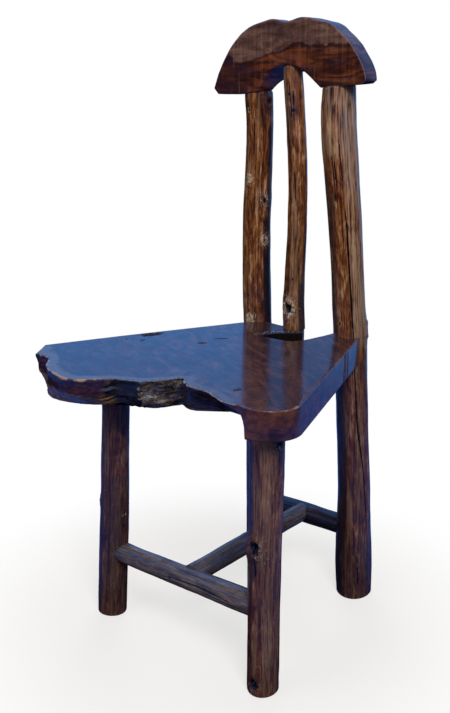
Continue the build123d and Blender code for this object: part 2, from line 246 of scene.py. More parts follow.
def evenly(line, step, start):
    """Points at even steps along a closed line, from its point nearest to a given place."""
    line = np.roll(line, -np.linalg.norm(line - np.array(start), axis=1).argmin(), axis=0)
    closed = np.vstack([line, line[:1]])
    run = np.concatenate([[0.0], np.cumsum(np.linalg.norm(np.diff(closed, axis=0), axis=1))])
    places = np.arange(int(run[-1] / step)) * run[-1] / int(run[-1] / step)
    return np.column_stack([np.interp(places, run, closed[:, axis]) for axis in range(3)])


def counter_clockwise(line, across, up):
    """The closed line, turned so that it runs counter-clockwise seen against across x up."""
    u, v = line @ across, line @ up
    area = (u * np.roll(v, -1) - np.roll(u, -1) * v).sum()
    return line if area > 0 else line[::-1]


def outward(line, normal, window):
    """The direction out of a counter-clockwise line at each of its points, in its own plane."""
    along = np.roll(line, -window, axis=0) - np.roll(line, window, axis=0)
    out = np.cross(along, normal)
    return out / np.linalg.norm(out, axis=1)[:, None]


def surface_of(node):
    """A CAD node's surface, for rays to meet."""
    solid = bmesh.new()
    solid.from_mesh(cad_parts[node].data)
    surface = BVHTree.FromBMesh(solid)
    solid.free()
    return surface


def inside(points, outline):
    """Which points lie inside a closed outline, both as plane coordinates."""
    x, y = points[:, :1], points[:, 1:]
    x0, y0 = outline[:, 0], outline[:, 1]
    x1, y1 = np.roll(x0, -1), np.roll(y0, -1)
    crosses = (y0 > y) != (y1 > y)
    with np.errstate(divide="ignore", invalid="ignore"):
        meets = x0 + (y - y0) / (y1 - y0) * (x1 - x0)
    return (crosses & (x < meets)).sum(axis=1) % 2 == 1


def filled(rim, across, up, grid, spots):
    """Fills a flat rim: the points to add, and the triangles that use the rim's points and then those."""
    outline = np.column_stack([rim @ across, rim @ up])
    low, high = outline.min(axis=0), outline.max(axis=0)
    u, v = np.meshgrid(np.arange(low[0], high[0], grid), np.arange(low[1], high[1], grid))
    u[1::2] += grid / 2
    extra = np.column_stack([u.ravel(), v.ravel()])
    for centre, size, fine in spots:
        u, v = np.meshgrid(np.arange(-size, size, fine), np.arange(-size, size, fine))
        near = np.column_stack([u.ravel(), v.ravel()]) + np.array(centre)
        extra = np.vstack([extra[np.abs(extra - np.array(centre)).max(axis=1) > size], near])
    extra = extra[inside(extra, outline)]
    gaps = np.array([np.linalg.norm(outline - point, axis=1).min() for point in extra])
    extra = extra[gaps > grid * 0.3]
    flat = [Vector(point) for point in np.vstack([outline, extra])]
    edges = [(i, (i + 1) % len(rim)) for i in range(len(rim))]
    verts, _, faces, sources, _, _ = geometry.delaunay_2d_cdt(flat, edges, [], 1, 1e-9)
    crossings = [vert for vert, source in zip(verts, sources) if not source]
    if crossings:
        extra = np.vstack([extra, crossings])
    fresh = iter(range(len(flat), len(flat) + len(crossings)))
    origin = [source[0] if source else next(fresh) for source in sources]
    normal = np.cross(across, up)
    added = extra @ np.array([across, up]) + normal * (rim[0] @ normal)
    return added, [[origin[i] for i in face] for face in faces]


def closed_board(rows, across, up, grid, spots=()):
    """A closed solid: walls through rows of points, first to last, and a filled face at either end.

    Gives its points, its faces, and how many points belong to the walls, the first face and the last.
    """
    count, columns = len(rows), len(rows[0])
    points, faces = [np.vstack(rows)], []
    for row in range(count - 1):
        for column in range(columns):
            beside = (column + 1) % columns
            low, high = row * columns, (row + 1) * columns
            faces.append((low + column, low + beside, high + beside, high + column))
    for first, turned, marks in ((0, True, ()), ((count - 1) * columns, False, spots)):
        added, triangles = filled(rows[first // columns], across, up, grid, marks)
        start = sum(len(group) for group in points)
        for triangle in triangles:
            face = [first + i if i < columns else start + i - columns for i in triangle]
            faces.append(face[::-1] if turned else face)
        points.append(added)
    return np.vstack(points), faces, [len(group) for group in points]


def placed(name, data):
    """An object of the given mesh, lamp or camera, in the scene."""
    made = bpy.data.objects.new(name, data)
    bpy.context.scene.collection.objects.link(made)
    return made


def store_readings(mesh, readings):
    """Stores numbers or vectors on a mesh's points."""
    for reading, values in readings.items():
        values = np.asarray(values, dtype=np.float32)
        kind, entry = ("FLOAT_VECTOR", "vector") if values.ndim == 2 else ("FLOAT", "value")
        mesh.attributes.new(reading, kind, "POINT").data.foreach_set(entry, np.ravel(values))


def wooden(name, points, faces, readings, material):
    """A smooth wooden object of the points and faces, with readings stored on its points."""
    mesh = bpy.data.meshes.new(name)
    mesh.from_pydata(points.tolist(), [], faces)
    store_readings(mesh, readings)
    mesh.materials.append(material)
    mesh.shade_smooth()
    return placed(name, mesh)


def rim_rows(low, high, radius, wall_count):
    """Heights from low to high with how far each is drawn in, so that both rims come out rounded."""
    turns = [math.pi / 2 * step / rim_steps for step in range(rim_steps)]
    lower = [(low + radius * (1 - math.sin(turn)), radius * (1 - math.cos(turn))) for turn in reversed(turns)]
    lower = [(low, radius)] + lower
    walls = np.linspace(low + radius, high - radius, wall_count + 2)[1:-1]
    upper = [(high - (level - low), inset) for level, inset in reversed(lower)]
    return lower + [(level, 0.0) for level in walls] + upper


X_AXIS, Y_AXIS, Z_AXIS = np.eye(3)
slab_outline = cut_line("seat_slab", (0, 0, slab_top - slab_cut), (0, 0, 1))
slab_start = (*rear_left_corner, slab_top)  # hidden in the left post's notch
slab_outline = evenly(counter_clockwise(slab_outline, X_AXIS, Y_AXIS), slab_column_step, slab_start)
slab_out = outward(slab_outline, Z_AXIS, window=3)

# the wall under the outline: the CAD solid's own surface, found from outside at every level
slab_surface = surface_of("seat_slab")
slab_levels = rim_rows(slab_under, slab_top, slab_rim, slab_rows)
slab_depth = []  # how far inside the outline the wall lies, per level and column
for level, _ in slab_levels:
    probe = min(max(level, slab_under + slab_skin), slab_top - slab_skin)
    row = []
    for point, out in zip(slab_outline, slab_out):
        start = Vector((point[0], point[1], probe)) + Vector(out) * slab_overhang
        gap = slab_surface.ray_cast(start, -Vector(out), slab_reach)[3]
        row.append(gap - slab_overhang if gap is not None else 0.0)
    slab_depth.append(row)
easing = np.hanning(slab_easing + 2)[1:-1] / np.hanning(slab_easing + 2).sum()
beyond = ((slab_easing // 2, slab_easing // 2), (0, 0))
padded = np.pad(slab_depth, beyond, mode="reflect", reflect_type="odd")
slab_depth = np.apply_along_axis(np.convolve, 0, padded, easing, mode="valid")
slab_wall = []
for (level, inset), depth in zip(slab_levels, slab_depth):
    plan = slab_outline - slab_out * (depth + inset)[:, None]
    slab_wall.append(np.column_stack([plan[:, :2], np.full(len(plan), level)]))


def column_at(place):
    """The column of the slab's outline nearest to a place in plan."""
    return int(np.linalg.norm(slab_outline[:, :2] - np.array(place), axis=1).argmin())


# where the top needs finer points: centre, half the size, and the step between them
fine_spots = [(place, max(length, width), mark_grid) for place, length, width, _, _ in top_marks]
for start, end in ((burl_start, scoop_end), (cleft_tip, cleft_end)):
    for column in range(column_at(start), column_at(end), chip_every):
        fine_spots.append((slab_outline[column, :2], chip_spot, chip_grid))
slab_points, slab_faces, slab_groups = closed_board(slab_wall, X_AXIS, Y_AXIS, slab_grid, fine_spots)

# where each point lies: its share of the height, its nearest column and how far from the outline it is
slab_columns = len(slab_outline)
wall_count = slab_groups[0]
wall_out = np.tile(slab_out, (len(slab_levels), 1))
plan_gap = np.array([
    np.linalg.norm(slab_outline[:, :2] - point[:2], axis=1) for point in slab_points[wall_count:]
])
slab_column = np.concatenate([np.tile(np.arange(slab_columns), len(slab_levels)), plan_gap.argmin(axis=1)])
slab_rim_gap = np.concatenate([np.zeros(wall_count), plan_gap.min(axis=1)])
slab_rise = (slab_points[:, 2] - slab_under) / slab_thickness


def stretch_of(start, end, soft=0.012):
    """1 along the outline from one place to another, 0 elsewhere, with soft ends."""
    first, last = column_at(start), column_at(end)
    run = ((np.arange(slab_columns) - first) % slab_columns) * slab_column_step
    length = ((last - first) % slab_columns) * slab_column_step
    perimeter = slab_columns * slab_column_step
    ahead = np.minimum(run, perimeter - run) * np.where(run > perimeter - run, -1, 1)
    between = np.clip(np.minimum(ahead, length - run) / soft + 0.5, 0, 1) * (run < length + soft)
    return between + np.clip((run - perimeter) / soft + 0.5, 0, 1)


live_edge = stretch_of(rear_left_corner, burl_start)
burl_edge = stretch_of(burl_start, burl_end)
scoop_edge = stretch_of(burl_end, scoop_end)
corner_edge = stretch_of(scoop_end, corner_end, soft=0.01)
cleft_wall = stretch_of(cleft_tip, cleft_end, soft=0.004)
cavern = stretch_of(burl_start, cavern_end, soft=0.008)
chipped = np.clip(burl_edge + scoop_edge + cleft_wall, 0, 1)
sapwood_side = np.clip(stretch_of(left_tip, burl_end, soft=0.03) + scoop_edge * 0.6, 0, 1)

# where one kind of surface gives way to the next, the border wanders from row to row
wander_columns = 8
wander = [wander_columns * lumps(level, level, 0.011, 0.004, 3.0) for level in slab_points[:, 2]]
slab_column = (slab_column + np.round(wander).astype(int) * (slab_rise < 0.9)) % slab_columns

# the tree's own surface: swellings and fine ribs on the live edge, folds on the burl, flutes in the scoop
swell_height, hollow_depth, rib_height, fibre_rise = 0.0016, 0.0022, 0.0009, 0.00035
burl_depth, fold_height, burl_rim, cavern_depth = 0.006, 0.0016, 0.0016, 0.011
flute_height, scoop_fibre, saw_height, torn_height = 0.0012, 0.0005, 0.00012, 0.0022
slab_run = np.arange(slab_columns) * slab_column_step
push = np.zeros(wall_count)
for index in range(wall_count):
    column = slab_column[index]
    run, rise = slab_run[index % slab_columns], slab_rise[index]
    level = slab_points[index, 2]
    fade = min(1.0, (1 - rise) * 5)
    swell = lumps(run, level, 0.035, 0.03, 1.0)
    ribs = lumps(run, level, 0.011, 0.007, 5.0)
    fine = lumps(run, level, 0.0045, 0.0022, 9.0)
    hollow = math.sin(math.pi * min(1.0, max(0.0, (rise - 0.42) / 0.58)))
    live = (swell_height * swell - hollow_depth * hollow + rib_height * ribs + fibre_rise * fine) * fade
    lump = noise.voronoi(Vector((run / 0.026 + level / 0.03, level / 0.019, 2.0)))[0]
    crease = Vector((run / 0.03 + level / 0.02, level / 0.011, 7.0))
    fold = noise.ridged_multi_fractal(crease, 0.9, 2.1, 4, 1.0, 2.0)
    burl = -burl_depth * (0.25 + lump[0]) * fade ** 0.5 + fold_height * (fold - 1.2) - burl_rim * (1 - fade)
    mouth = math.sin(math.pi * min(1.0, max(0.0, (rise + 0.1) / 1.05))) ** 0.7
    burl -= cavern[column] * cavern_depth * mouth
    scoop = (flute_height * lumps(run + level, level, 0.007, 0.03, 4.0) + scoop_fibre * fine) * fade
    saw = saw_height * lumps(run, level, 0.0016, 0.03, 6.0)
    torn = torn_height * lumps(run, 3.0, 0.006, 1.0, 8.0) * max(0.0, rise * 4 - 3)
    burl, scoop, saw = burl + torn, scoop + torn, saw + torn * cleft_wall[column]
    push[index] = (
        live_edge[column] * live + burl_edge[column] * burl + scoop_edge[column] * scoop
        + (1 - live_edge[column]) * (1 - burl_edge[column]) * (1 - scoop_edge[column]) * saw
    )

# saw kerfs that ran past the line, towards the rear of the sawn side
kerf_gaps = [0.086, 0.099, 0.107]  # from the rear right corner
kerf_depth, kerf_width, kerf_shade = 0.0012, 0.0012, 0.25
kerf_places = column_at(rear_right_corner) * slab_column_step - np.array(kerf_gaps)
kerf = np.exp(-(((slab_run[:, None] - kerf_places) / kerf_width) ** 2)).max(axis=1)
kerf = np.tile(kerf, len(slab_levels)) * (slab_rise[:wall_count] < 0.97)
slab_points[:wall_count] += wall_out * (push - kerf * kerf_depth)[:, None]

# voids and checks in the top, with ragged rims; the dark colour laid in them and in the kerfs is painted shade
pit = np.zeros(len(slab_points))
pit[:wall_count] = kerf * kerf_shade
near_top = np.clip((slab_rise - 0.75) / 0.25, 0, 1)
ragged_rim = 1 + 0.8 * np.array([lumps(x, y, 0.0035, 0.0035, 0.0) for x, y, _ in slab_points])
for (x, y), length, width, depth, turn in top_marks:
    c, s = math.cos(math.radians(turn)), math.sin(math.radians(turn))
    dx, dy = slab_points[:, 0] - x, slab_points[:, 1] - y
    far = ((dx * c + dy * s) / (length / 2)) ** 2 + ((dy * c - dx * s) / (width / 2)) ** 2
    mark = np.clip(1.25 - far * ragged_rim, 0, 1) * near_top
    slab_points[:, 2] -= mark * depth
    pit = np.maximum(pit, mark)

# the faint waves that a hand plane leaves, and the top's chipped edges
plane_wave, chip_depth, chip_reach = 0.00012, 0.0026, 0.0045
for index in range(wall_count + slab_groups[1], len(slab_points)):
    x, y, _ = slab_points[index]
    slab_points[index, 2] += plane_wave * lumps(x, y, 0.07, 0.045, 0.0) - plane_wave
    lip = chipped[slab_column[index]] * math.exp(-((slab_rim_gap[index] / chip_reach) ** 2))
    slab_points[index, 2] -= lip * chip_depth * max(0.0, 0.3 + lumps(x, y, 0.005, 0.005, 5.0))


def slab_looks(surface):
    """Swirling dark brown heartwood, a pale sapwood rim, and the edges as the tree and the saw left them, with
    painted shade in the hollows and a painted highlight on one edge.
    """
    read, noise_at, turned = surface.read, surface.noise, surface.turned(0.45)
    rise, rim, cleft = read("rise"), read("rim"), read("cleft")
    ragged = noise_at((60, 60, 20), 3.0) - 0.5

    # the top: figured heartwood with darker clouds, growth lines in the sapwood, and painted shade in the
    # chips along the rim, with pale specks
    figure = turned.noise((13, 34, 30), 5.0, 0.60, 2.0)
    broad = turned.noise((7, 13, 9), 3.0, 0.5, 0.8)
    heart = figure.shades(
        (0.28, 0.016, 0.004, 0.004), (0.45, 0.042, 0.013, 0.009),
        (0.56, 0.078, 0.026, 0.014), (0.72, 0.140, 0.055, 0.028),
    ).stained(broad.between(0.42, 0.62) * 0.55, (0.030, 0.009, 0.010))
    sap = (rim + ragged * 0.014).between(0.021, 0.013) * read("sapwood")
    growth = ((rim + ragged * 0.003) * 3500.0).math("COSINE") * 0.3 + 0.5
    sapwood = Colour(surface.tree, (0.075, 0.055, 0.055)).stained(growth, (0.160, 0.130, 0.125))
    specks = noise_at((320, 320, 320), 3.0).between(0.52, 0.62)
    # painted shade in the chips along the rim, and pale specks in them
    chip_shade_and_specks = read("chipped") * (rim + ragged * 0.02 - cleft * 0.006).between(0.008, 0.003)
    top = heart.stained(sap, sapwood).stained(chip_shade_and_specks * 0.8, (0.018, 0.012, 0.009))
    top = top.stained(chip_shade_and_specks * specks * 0.9, (0.420, 0.330, 0.250))

    # the live edge: bark-dark above, orange inner wood below, a pale worn lip
    broken = (broad + ragged * 1.2).between(0.42, 0.58)
    streaks = noise_at((70, 70, 190), 5.0, 0.65, 0.6)
    bark_line = (noise_at((28, 28, 28), 4.0) - 0.5) * 0.5
    inner = streaks.shades(
        (0.3, 0.055, 0.022, 0.012), (0.5, 0.170, 0.082, 0.034), (0.68, 0.340, 0.190, 0.085),
    )
    outer = streaks.shades(
        (0.3, 0.008, 0.004, 0.012), (0.52, 0.035, 0.014, 0.032), (0.72, 0.110, 0.040, 0.045),
    )
    live = inner.stained((rise + bark_line).between(0.38, 0.50), outer)
    live = live.stained((rise + ragged * 0.2).between(0.93, 0.97) * broken, (0.40, 0.26, 0.17))

    # the burl: grey crags with black folds, painted shade in its cavern, and a painted shadow below
    folds = noise_at((38, 38, 75), 3.0, 0.6, 1.6) - 0.5
    shade = (read("cavern") + ragged * 1.8).between(0.40, 0.75) * (rise - 0.04).between(0.97, 0.80)
    crags = noise_at((55, 55, 110), 6.0, 0.7, 0.9).shades(
        (0.36, 0.012, 0.011, 0.016), (0.48, 0.090, 0.074, 0.068),
        (0.58, 0.270, 0.225, 0.190), (0.74, 0.560, 0.480, 0.410),
    ).stained(folds.bell(0.022), (0.005, 0.004, 0.005)).stained(shade * 0.9, (0.010, 0.008, 0.012))
    crags = crags.stained((rise + ragged * 0.3).between(0.22, 0.08) * 0.9, (0.006, 0.004, 0.005))

    # the scoop: nearly black wood under a pale rim
    deep = streaks.shades(
        (0.35, 0.007, 0.006, 0.022), (0.6, 0.034, 0.018, 0.060), (0.78, 0.140, 0.060, 0.075),
    ).stained((rise + ragged * 0.7).between(0.90, 0.96) * 0.85, (0.42, 0.31, 0.23))

    # the sawn sides: blotches that follow the top's figure, and a painted highlight along the front corner's
    # top edge
    blotches = noise_at((42, 42, 65), 5.0, 0.65, 0.9)
    # painted highlight along the front corner's top edge
    worn = read("corner") * rise.between(0.965, 0.990) * broken * 0.6
    sawn = blotches.shades(
        (0.34, 0.024, 0.006, 0.012), (0.47, 0.085, 0.027, 0.022),
        (0.58, 0.150, 0.056, 0.030), (0.70, 0.240, 0.105, 0.048),
    ).stained(0.35, heart).stained(worn, (0.380, 0.300, 0.280))

    sides = sawn.stained(read("live"), live).stained(read("burl"), crags).stained(read("scoop"), deep)
    # painted shade on the cleft's walls, clear of their top edge
    sides = sides.stained(cleft * (rise + ragged * 0.3).between(1.04, 0.98), (0.008, 0.006, 0.005))
    whole = top.stained(read("wall"), sides)
    # painted shade in the voids, checks and kerfs
    whole = whole.stained(read("pit").between(0.1, 0.5), (0.006, 0.004, 0.003))
    return whole, turned.noise((28, 300, 200), 3.0, 0.55)


seat = wooden("seat_slab_wood", slab_points, slab_faces, {
    "rise": slab_rise,
    "rim": slab_rim_gap,
    "wall": np.arange(len(slab_points)) < wall_count,
    "live": live_edge[slab_column],
    "burl": burl_edge[slab_column],
    "cavern": cavern[slab_column],
    "corner": corner_edge[slab_column],
    "cleft": cleft_wall[slab_column],
    "scoop": scoop_edge[slab_column],
    "sapwood": sapwood_side[slab_column],
    "chipped": chipped[slab_column],
    "pit": pit,
}, varnished("varnished_slab_wood", slab_looks, relief_depth=0.00014, coat_ior=1.6))
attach(seat, "root")
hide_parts("seat_slab")


# ---- The branches: legs, posts and spindle ----
# Peeled crooked branches with their flutes, swellings, healed knots and drying checks, stained brown and
# varnished.  Feet and heads are sawn level; the heads enter the slab or the crest rail on round tenons.
path_step = 0.002  # between sections along a branch
station_step = 0.022  # between the places where a branch is measured
foot_round = 0.0025  # eased edge of a sawn end
head_sink = 0.001  # how far a head runs into what it carries
head_blend = 0.03  # length over which a head leans into the slope that it is cut to
end_fade = 0.004  # length over which the relief fades into a sawn end
painted_light_soft, painted_light_soft_turn = 0.02, 8  # soft edges of the painted shade and sheen, along the branch and in degrees round it
two_lobes, three_lobes = 0.035, 0.02  # how far a section is from round, as shares of its radius
swelling, fluting, fibre_height, check_depth = 0.0009, 0.0007, 0.0002, 0.0022  # of the bark's relief

# per branch: lobe turn, points round a section, stretches left out of the measuring
uprights = {
    "front_left_leg": (0.4, 150, [(0.095, 0.140)]),
    "front_right_leg": (2.1, 150, [(0.0, 0.03), (0.115, 0.155)]),
    "rear_left_post": (1.2, 150, [(0.10, 0.145), (0.408, 0.466)]),
    "rear_right_post": (2.8, 166, [(0.10, 0.135), (0.408, 0.466)]),
    "centre_spindle": (0.9, 110, []),
}

# knots: height, bearing in degrees from +X, radius, height of the collar, depth of the eye, paleness
knots = {
    "front_left_leg": [
        (0.187, -5, 0.009, 0.3, 0.0, 0.4), (0.165, -4, 0.007, 0.5, 0.9, 0.0),
        (0.204, -136, 0.014, 0.6, 0.0, 0.0),
    ],
    "front_right_leg": [
        (0.240, -84, 0.023, 0.7, 1.2, 0.35), (0.232, -112, 0.020, 0.9, 0.0, 0.0),
        (0.396, -12, 0.014, 1.0, 0.7, 0.3), (0.019, -87, 0.022, 0.1, 1.1, 0.2),
    ],
    "rear_left_post": [
        (0.818, -6, 0.014, 1.0, 0.5, 0.1), (0.806, -96, 0.006, 0.4, 0.6, 0.4),
        (0.699, -91, 0.010, 0.7, 0.2, 0.8), (0.664, -23, 0.013, 1.0, 0.5, 0.5),
        (0.599, -19, 0.012, 0.8, 0.4, 0.7), (0.464, -84, 0.013, 0.6, 0.2, 0.9),
        (0.505, -86, 0.006, 0.5, 0.6, 0.0),
    ],
    "rear_right_post": [(0.468, 32, 0.018, 1.0, 0.3, 0.2), (0.482, -90, 0.006, 0.6, 0.8, 0.2)],
    "centre_spindle": [
        (0.497, -86, 0.020, 0.8, 0.9, 0.7), (0.545, -65, 0.006, 0.6, 0.5, 0.0),
        (0.806, -64, 0.008, 0.5, 0.7, 0.0), (0.830, -84, 0.007, 0.4, 0.6, 0.0),
    ],
}

# drying checks: width, then (height, bearing in degrees) from end to end
checks = {
    "front_left_leg": [(0.0008, (0.205, -2), (0.172, -1))],
    "front_right_leg": [(0.0009, (0.388, -9), (0.345, -6)), (0.0012, (0.226, -84), (0.196, -82))],
    "rear_left_post": [(0.0007, (0.800, -72), (0.730, -76)), (0.0008, (0.482, -86), (0.468, -84))],
    "rear_right_post": [
        (0.0008, (0.770, -58), (0.700, -55)),
        (0.0010, (0.745, -84), (0.710, -82), (0.672, -79)),
        (0.0007, (0.735, -76), (0.690, -73)),
        (0.0014, (0.665, -52), (0.632, -50), (0.570, -49), (0.500, -46), (0.440, -43)),
        (0.0015, (0.440, -45), (0.360, -41), (0.305, -37), (0.230, -17), (0.165, -7), (0.120, -5)),
        (0.0007, (0.090, -46), (0.050, -44), (0.004, -42)),
    ],
    "centre_spindle": [
        (0.0008, (0.850, -82), (0.795, -76)), (0.0008, (0.836, -58), (0.798, -62)),
        (0.0007, (0.715, -72), (0.668, -68)), (0.0007, (0.702, -48), (0.655, -45)),
    ],
}

# painted shade and sheen: from and to a bearing, from and to a height, how dark the painted shade is, or how
# pale the painted sheen is where this is below 0
painted_light = {
    "front_left_leg": [(-180, 180, 0.0, 0.42, 0.25), (-180, 180, 0.0, 0.26, 0.50)],
    "front_right_leg": [
        (-180, -108, 0.26, 0.41, 0.7), (-96, -76, 0.19, 0.232, 0.6),
        (-80, -54, 0.215, 0.270, -0.9), (-72, -34, 0.25, 0.41, -0.45),
    ],
    "rear_left_post": [
        (-24, 100, 0.44, 0.64, 0.95), (-12, 100, 0.64, 0.79, 0.85), (-30, 40, 0.79, 0.84, 0.6),
    ],
    "rear_right_post": [
        (-180, -97, 0.46, 0.72, 0.6), (-180, -80, 0.0, 0.42, 0.85), (-180, 180, 0.0, 0.11, 0.5),
        (-47, 60, 0.44, 0.86, -0.75), (-110, -40, 0.74, 0.86, -0.5),
    ],
    "centre_spindle": [(-8, 100, 0.44, 0.63, 0.8), (-30, 100, 0.44, 0.545, 0.85)],
}


def section(triangles, origin, along, across, up):
    """Centre and radius of what a plane cuts from a solid, taken as the outline round all of it."""
    height = (triangles - origin) @ along
    crossing = (height.min(axis=1) < 0) & (height.max(axis=1) > 0)
    points = []
    for corners, levels in zip(triangles[crossing], height[crossing]):
        for a, b in ((0, 1), (1, 2), (2, 0)):
            if (levels[a] < 0) != (levels[b] < 0):
                share = levels[a] / (levels[a] - levels[b])
                points.append(corners[a] + (corners[b] - corners[a]) * share - origin)
    plane = np.array([(p @ across, p @ up) for p in points])
    hull = plane[geometry.convex_hull_2d([Vector(p) for p in plane])]
    beside = np.roll(hull, -1, axis=0)
    cross = hull[:, 0] * beside[:, 1] - beside[:, 0] * hull[:, 1]
    area = cross.sum() / 2
    middle = ((hull + beside) * cross[:, None]).sum(axis=0) / (6 * area)
    return middle, math.sqrt(abs(area) / math.pi)


def triangles_of(node):
    """A CAD node's triangles, as an array of corners."""
    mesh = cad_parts[node].data
    corners = np.zeros(len(mesh.vertices) * 3)
    mesh.vertices.foreach_get("co", corners)
    mesh.calc_loop_triangles()
    order = np.zeros(len(mesh.loop_triangles) * 3, dtype=np.int32)
    mesh.loop_triangles.foreach_get("vertices", order)
    return corners.reshape(-1, 3)[order].reshape(-1, 3, 3)


def normals_of(triangles):
    """Each triangle's normal, and twice its area."""
    crossed = np.cross(triangles[:, 1] - triangles[:, 0], triangles[:, 2] - triangles[:, 0])
    area = np.linalg.norm(crossed, axis=1)
    return crossed / np.maximum(area, 1e-15)[:, None], area


def head_plane(triangles):
    """Height at the axis, and slope, of the face that an upright's head is cut to, round its tenon."""
    tip = triangles[:, :, 2].max()
    normal, area = normals_of(triangles)
    middle = triangles.mean(axis=1)
    face = (normal[:, 2] > 0.8) & (middle[:, 2] < tip - 0.008) & (middle[:, 2] > tip - 0.06)
    lean = (normal[face] * area[face, None]).sum(axis=0) / area[face].sum()
    centre = (middle[face] * area[face, None]).sum(axis=0) / area[face].sum()
    return centre, (-lean[0] / lean[2], -lean[1] / lean[2], 0.0)


class Branch:
    """The line of a branch: a straight chord, and at each place how far its heart sways and its radius."""

    def __init__(self, base, along, length, across, up, places, cuts, turn):
        self.base, self.along, self.length = np.array(base), along, length
        self.across, self.up, self.turn = across, up, turn
        self.places = places
        self.middles = np.array([middle for middle, _ in cuts])
        self.radii = np.array([radius for _, radius in cuts])

    def eased(self, values, steps):
        """Measured values at fine even steps, the kinks between the measured places smoothed away."""
        window = 2 * int(station_step / path_step / 2) + 1
        fine = np.pad(np.interp(steps, self.places, values), window // 2, mode="reflect", reflect_type="odd")
        weights = np.hanning(window + 2)[1:-1]
        return np.convolve(fine, weights / weights.sum(), mode="valid")

    def on_bark(self, height, bearing):
        """A point on the surface, at a height, or a place along a lying branch, and a bearing in degrees."""
        at = height - self.base[2] * self.along[2]
        angle = math.radians(bearing)
        out = self.across * math.cos(angle) + self.up * math.sin(angle)
        lobed = 1 + two_lobes * math.cos(2 * angle + self.turn)
        lobed += three_lobes * math.cos(3 * angle - self.turn)
        sway = self.across * np.interp(at, self.places, self.middles[:, 0])
        sway = sway + self.up * np.interp(at, self.places, self.middles[:, 1])
        return self.base + self.along * at + sway + out * np.interp(at, self.places, self.radii) * lobed


def standing_branch(node, turn, skip):
    """Measures an upright CAD branch, from its sawn foot to its head, and gives it with its head's slope."""
    triangles = triangles_of(node)
    head, slope = head_plane(triangles)
    low = slab_top - head_sink if node == "centre_spindle" else triangles[:, :, 2].min()
    base = np.array([head[0], head[1], low])
    length = head[2] - low
    places = [
        place for place in np.linspace(0.004, length - 0.006, int(length / station_step))
        if not any(start < low + place < end for start, end in skip)
    ]
    cuts = [section(triangles, base + Z_AXIS * place, Z_AXIS, X_AXIS, Y_AXIS) for place in places]
    return Branch(base, Z_AXIS, length + head_sink, X_AXIS, Y_AXIS, places, cuts, turn), slope


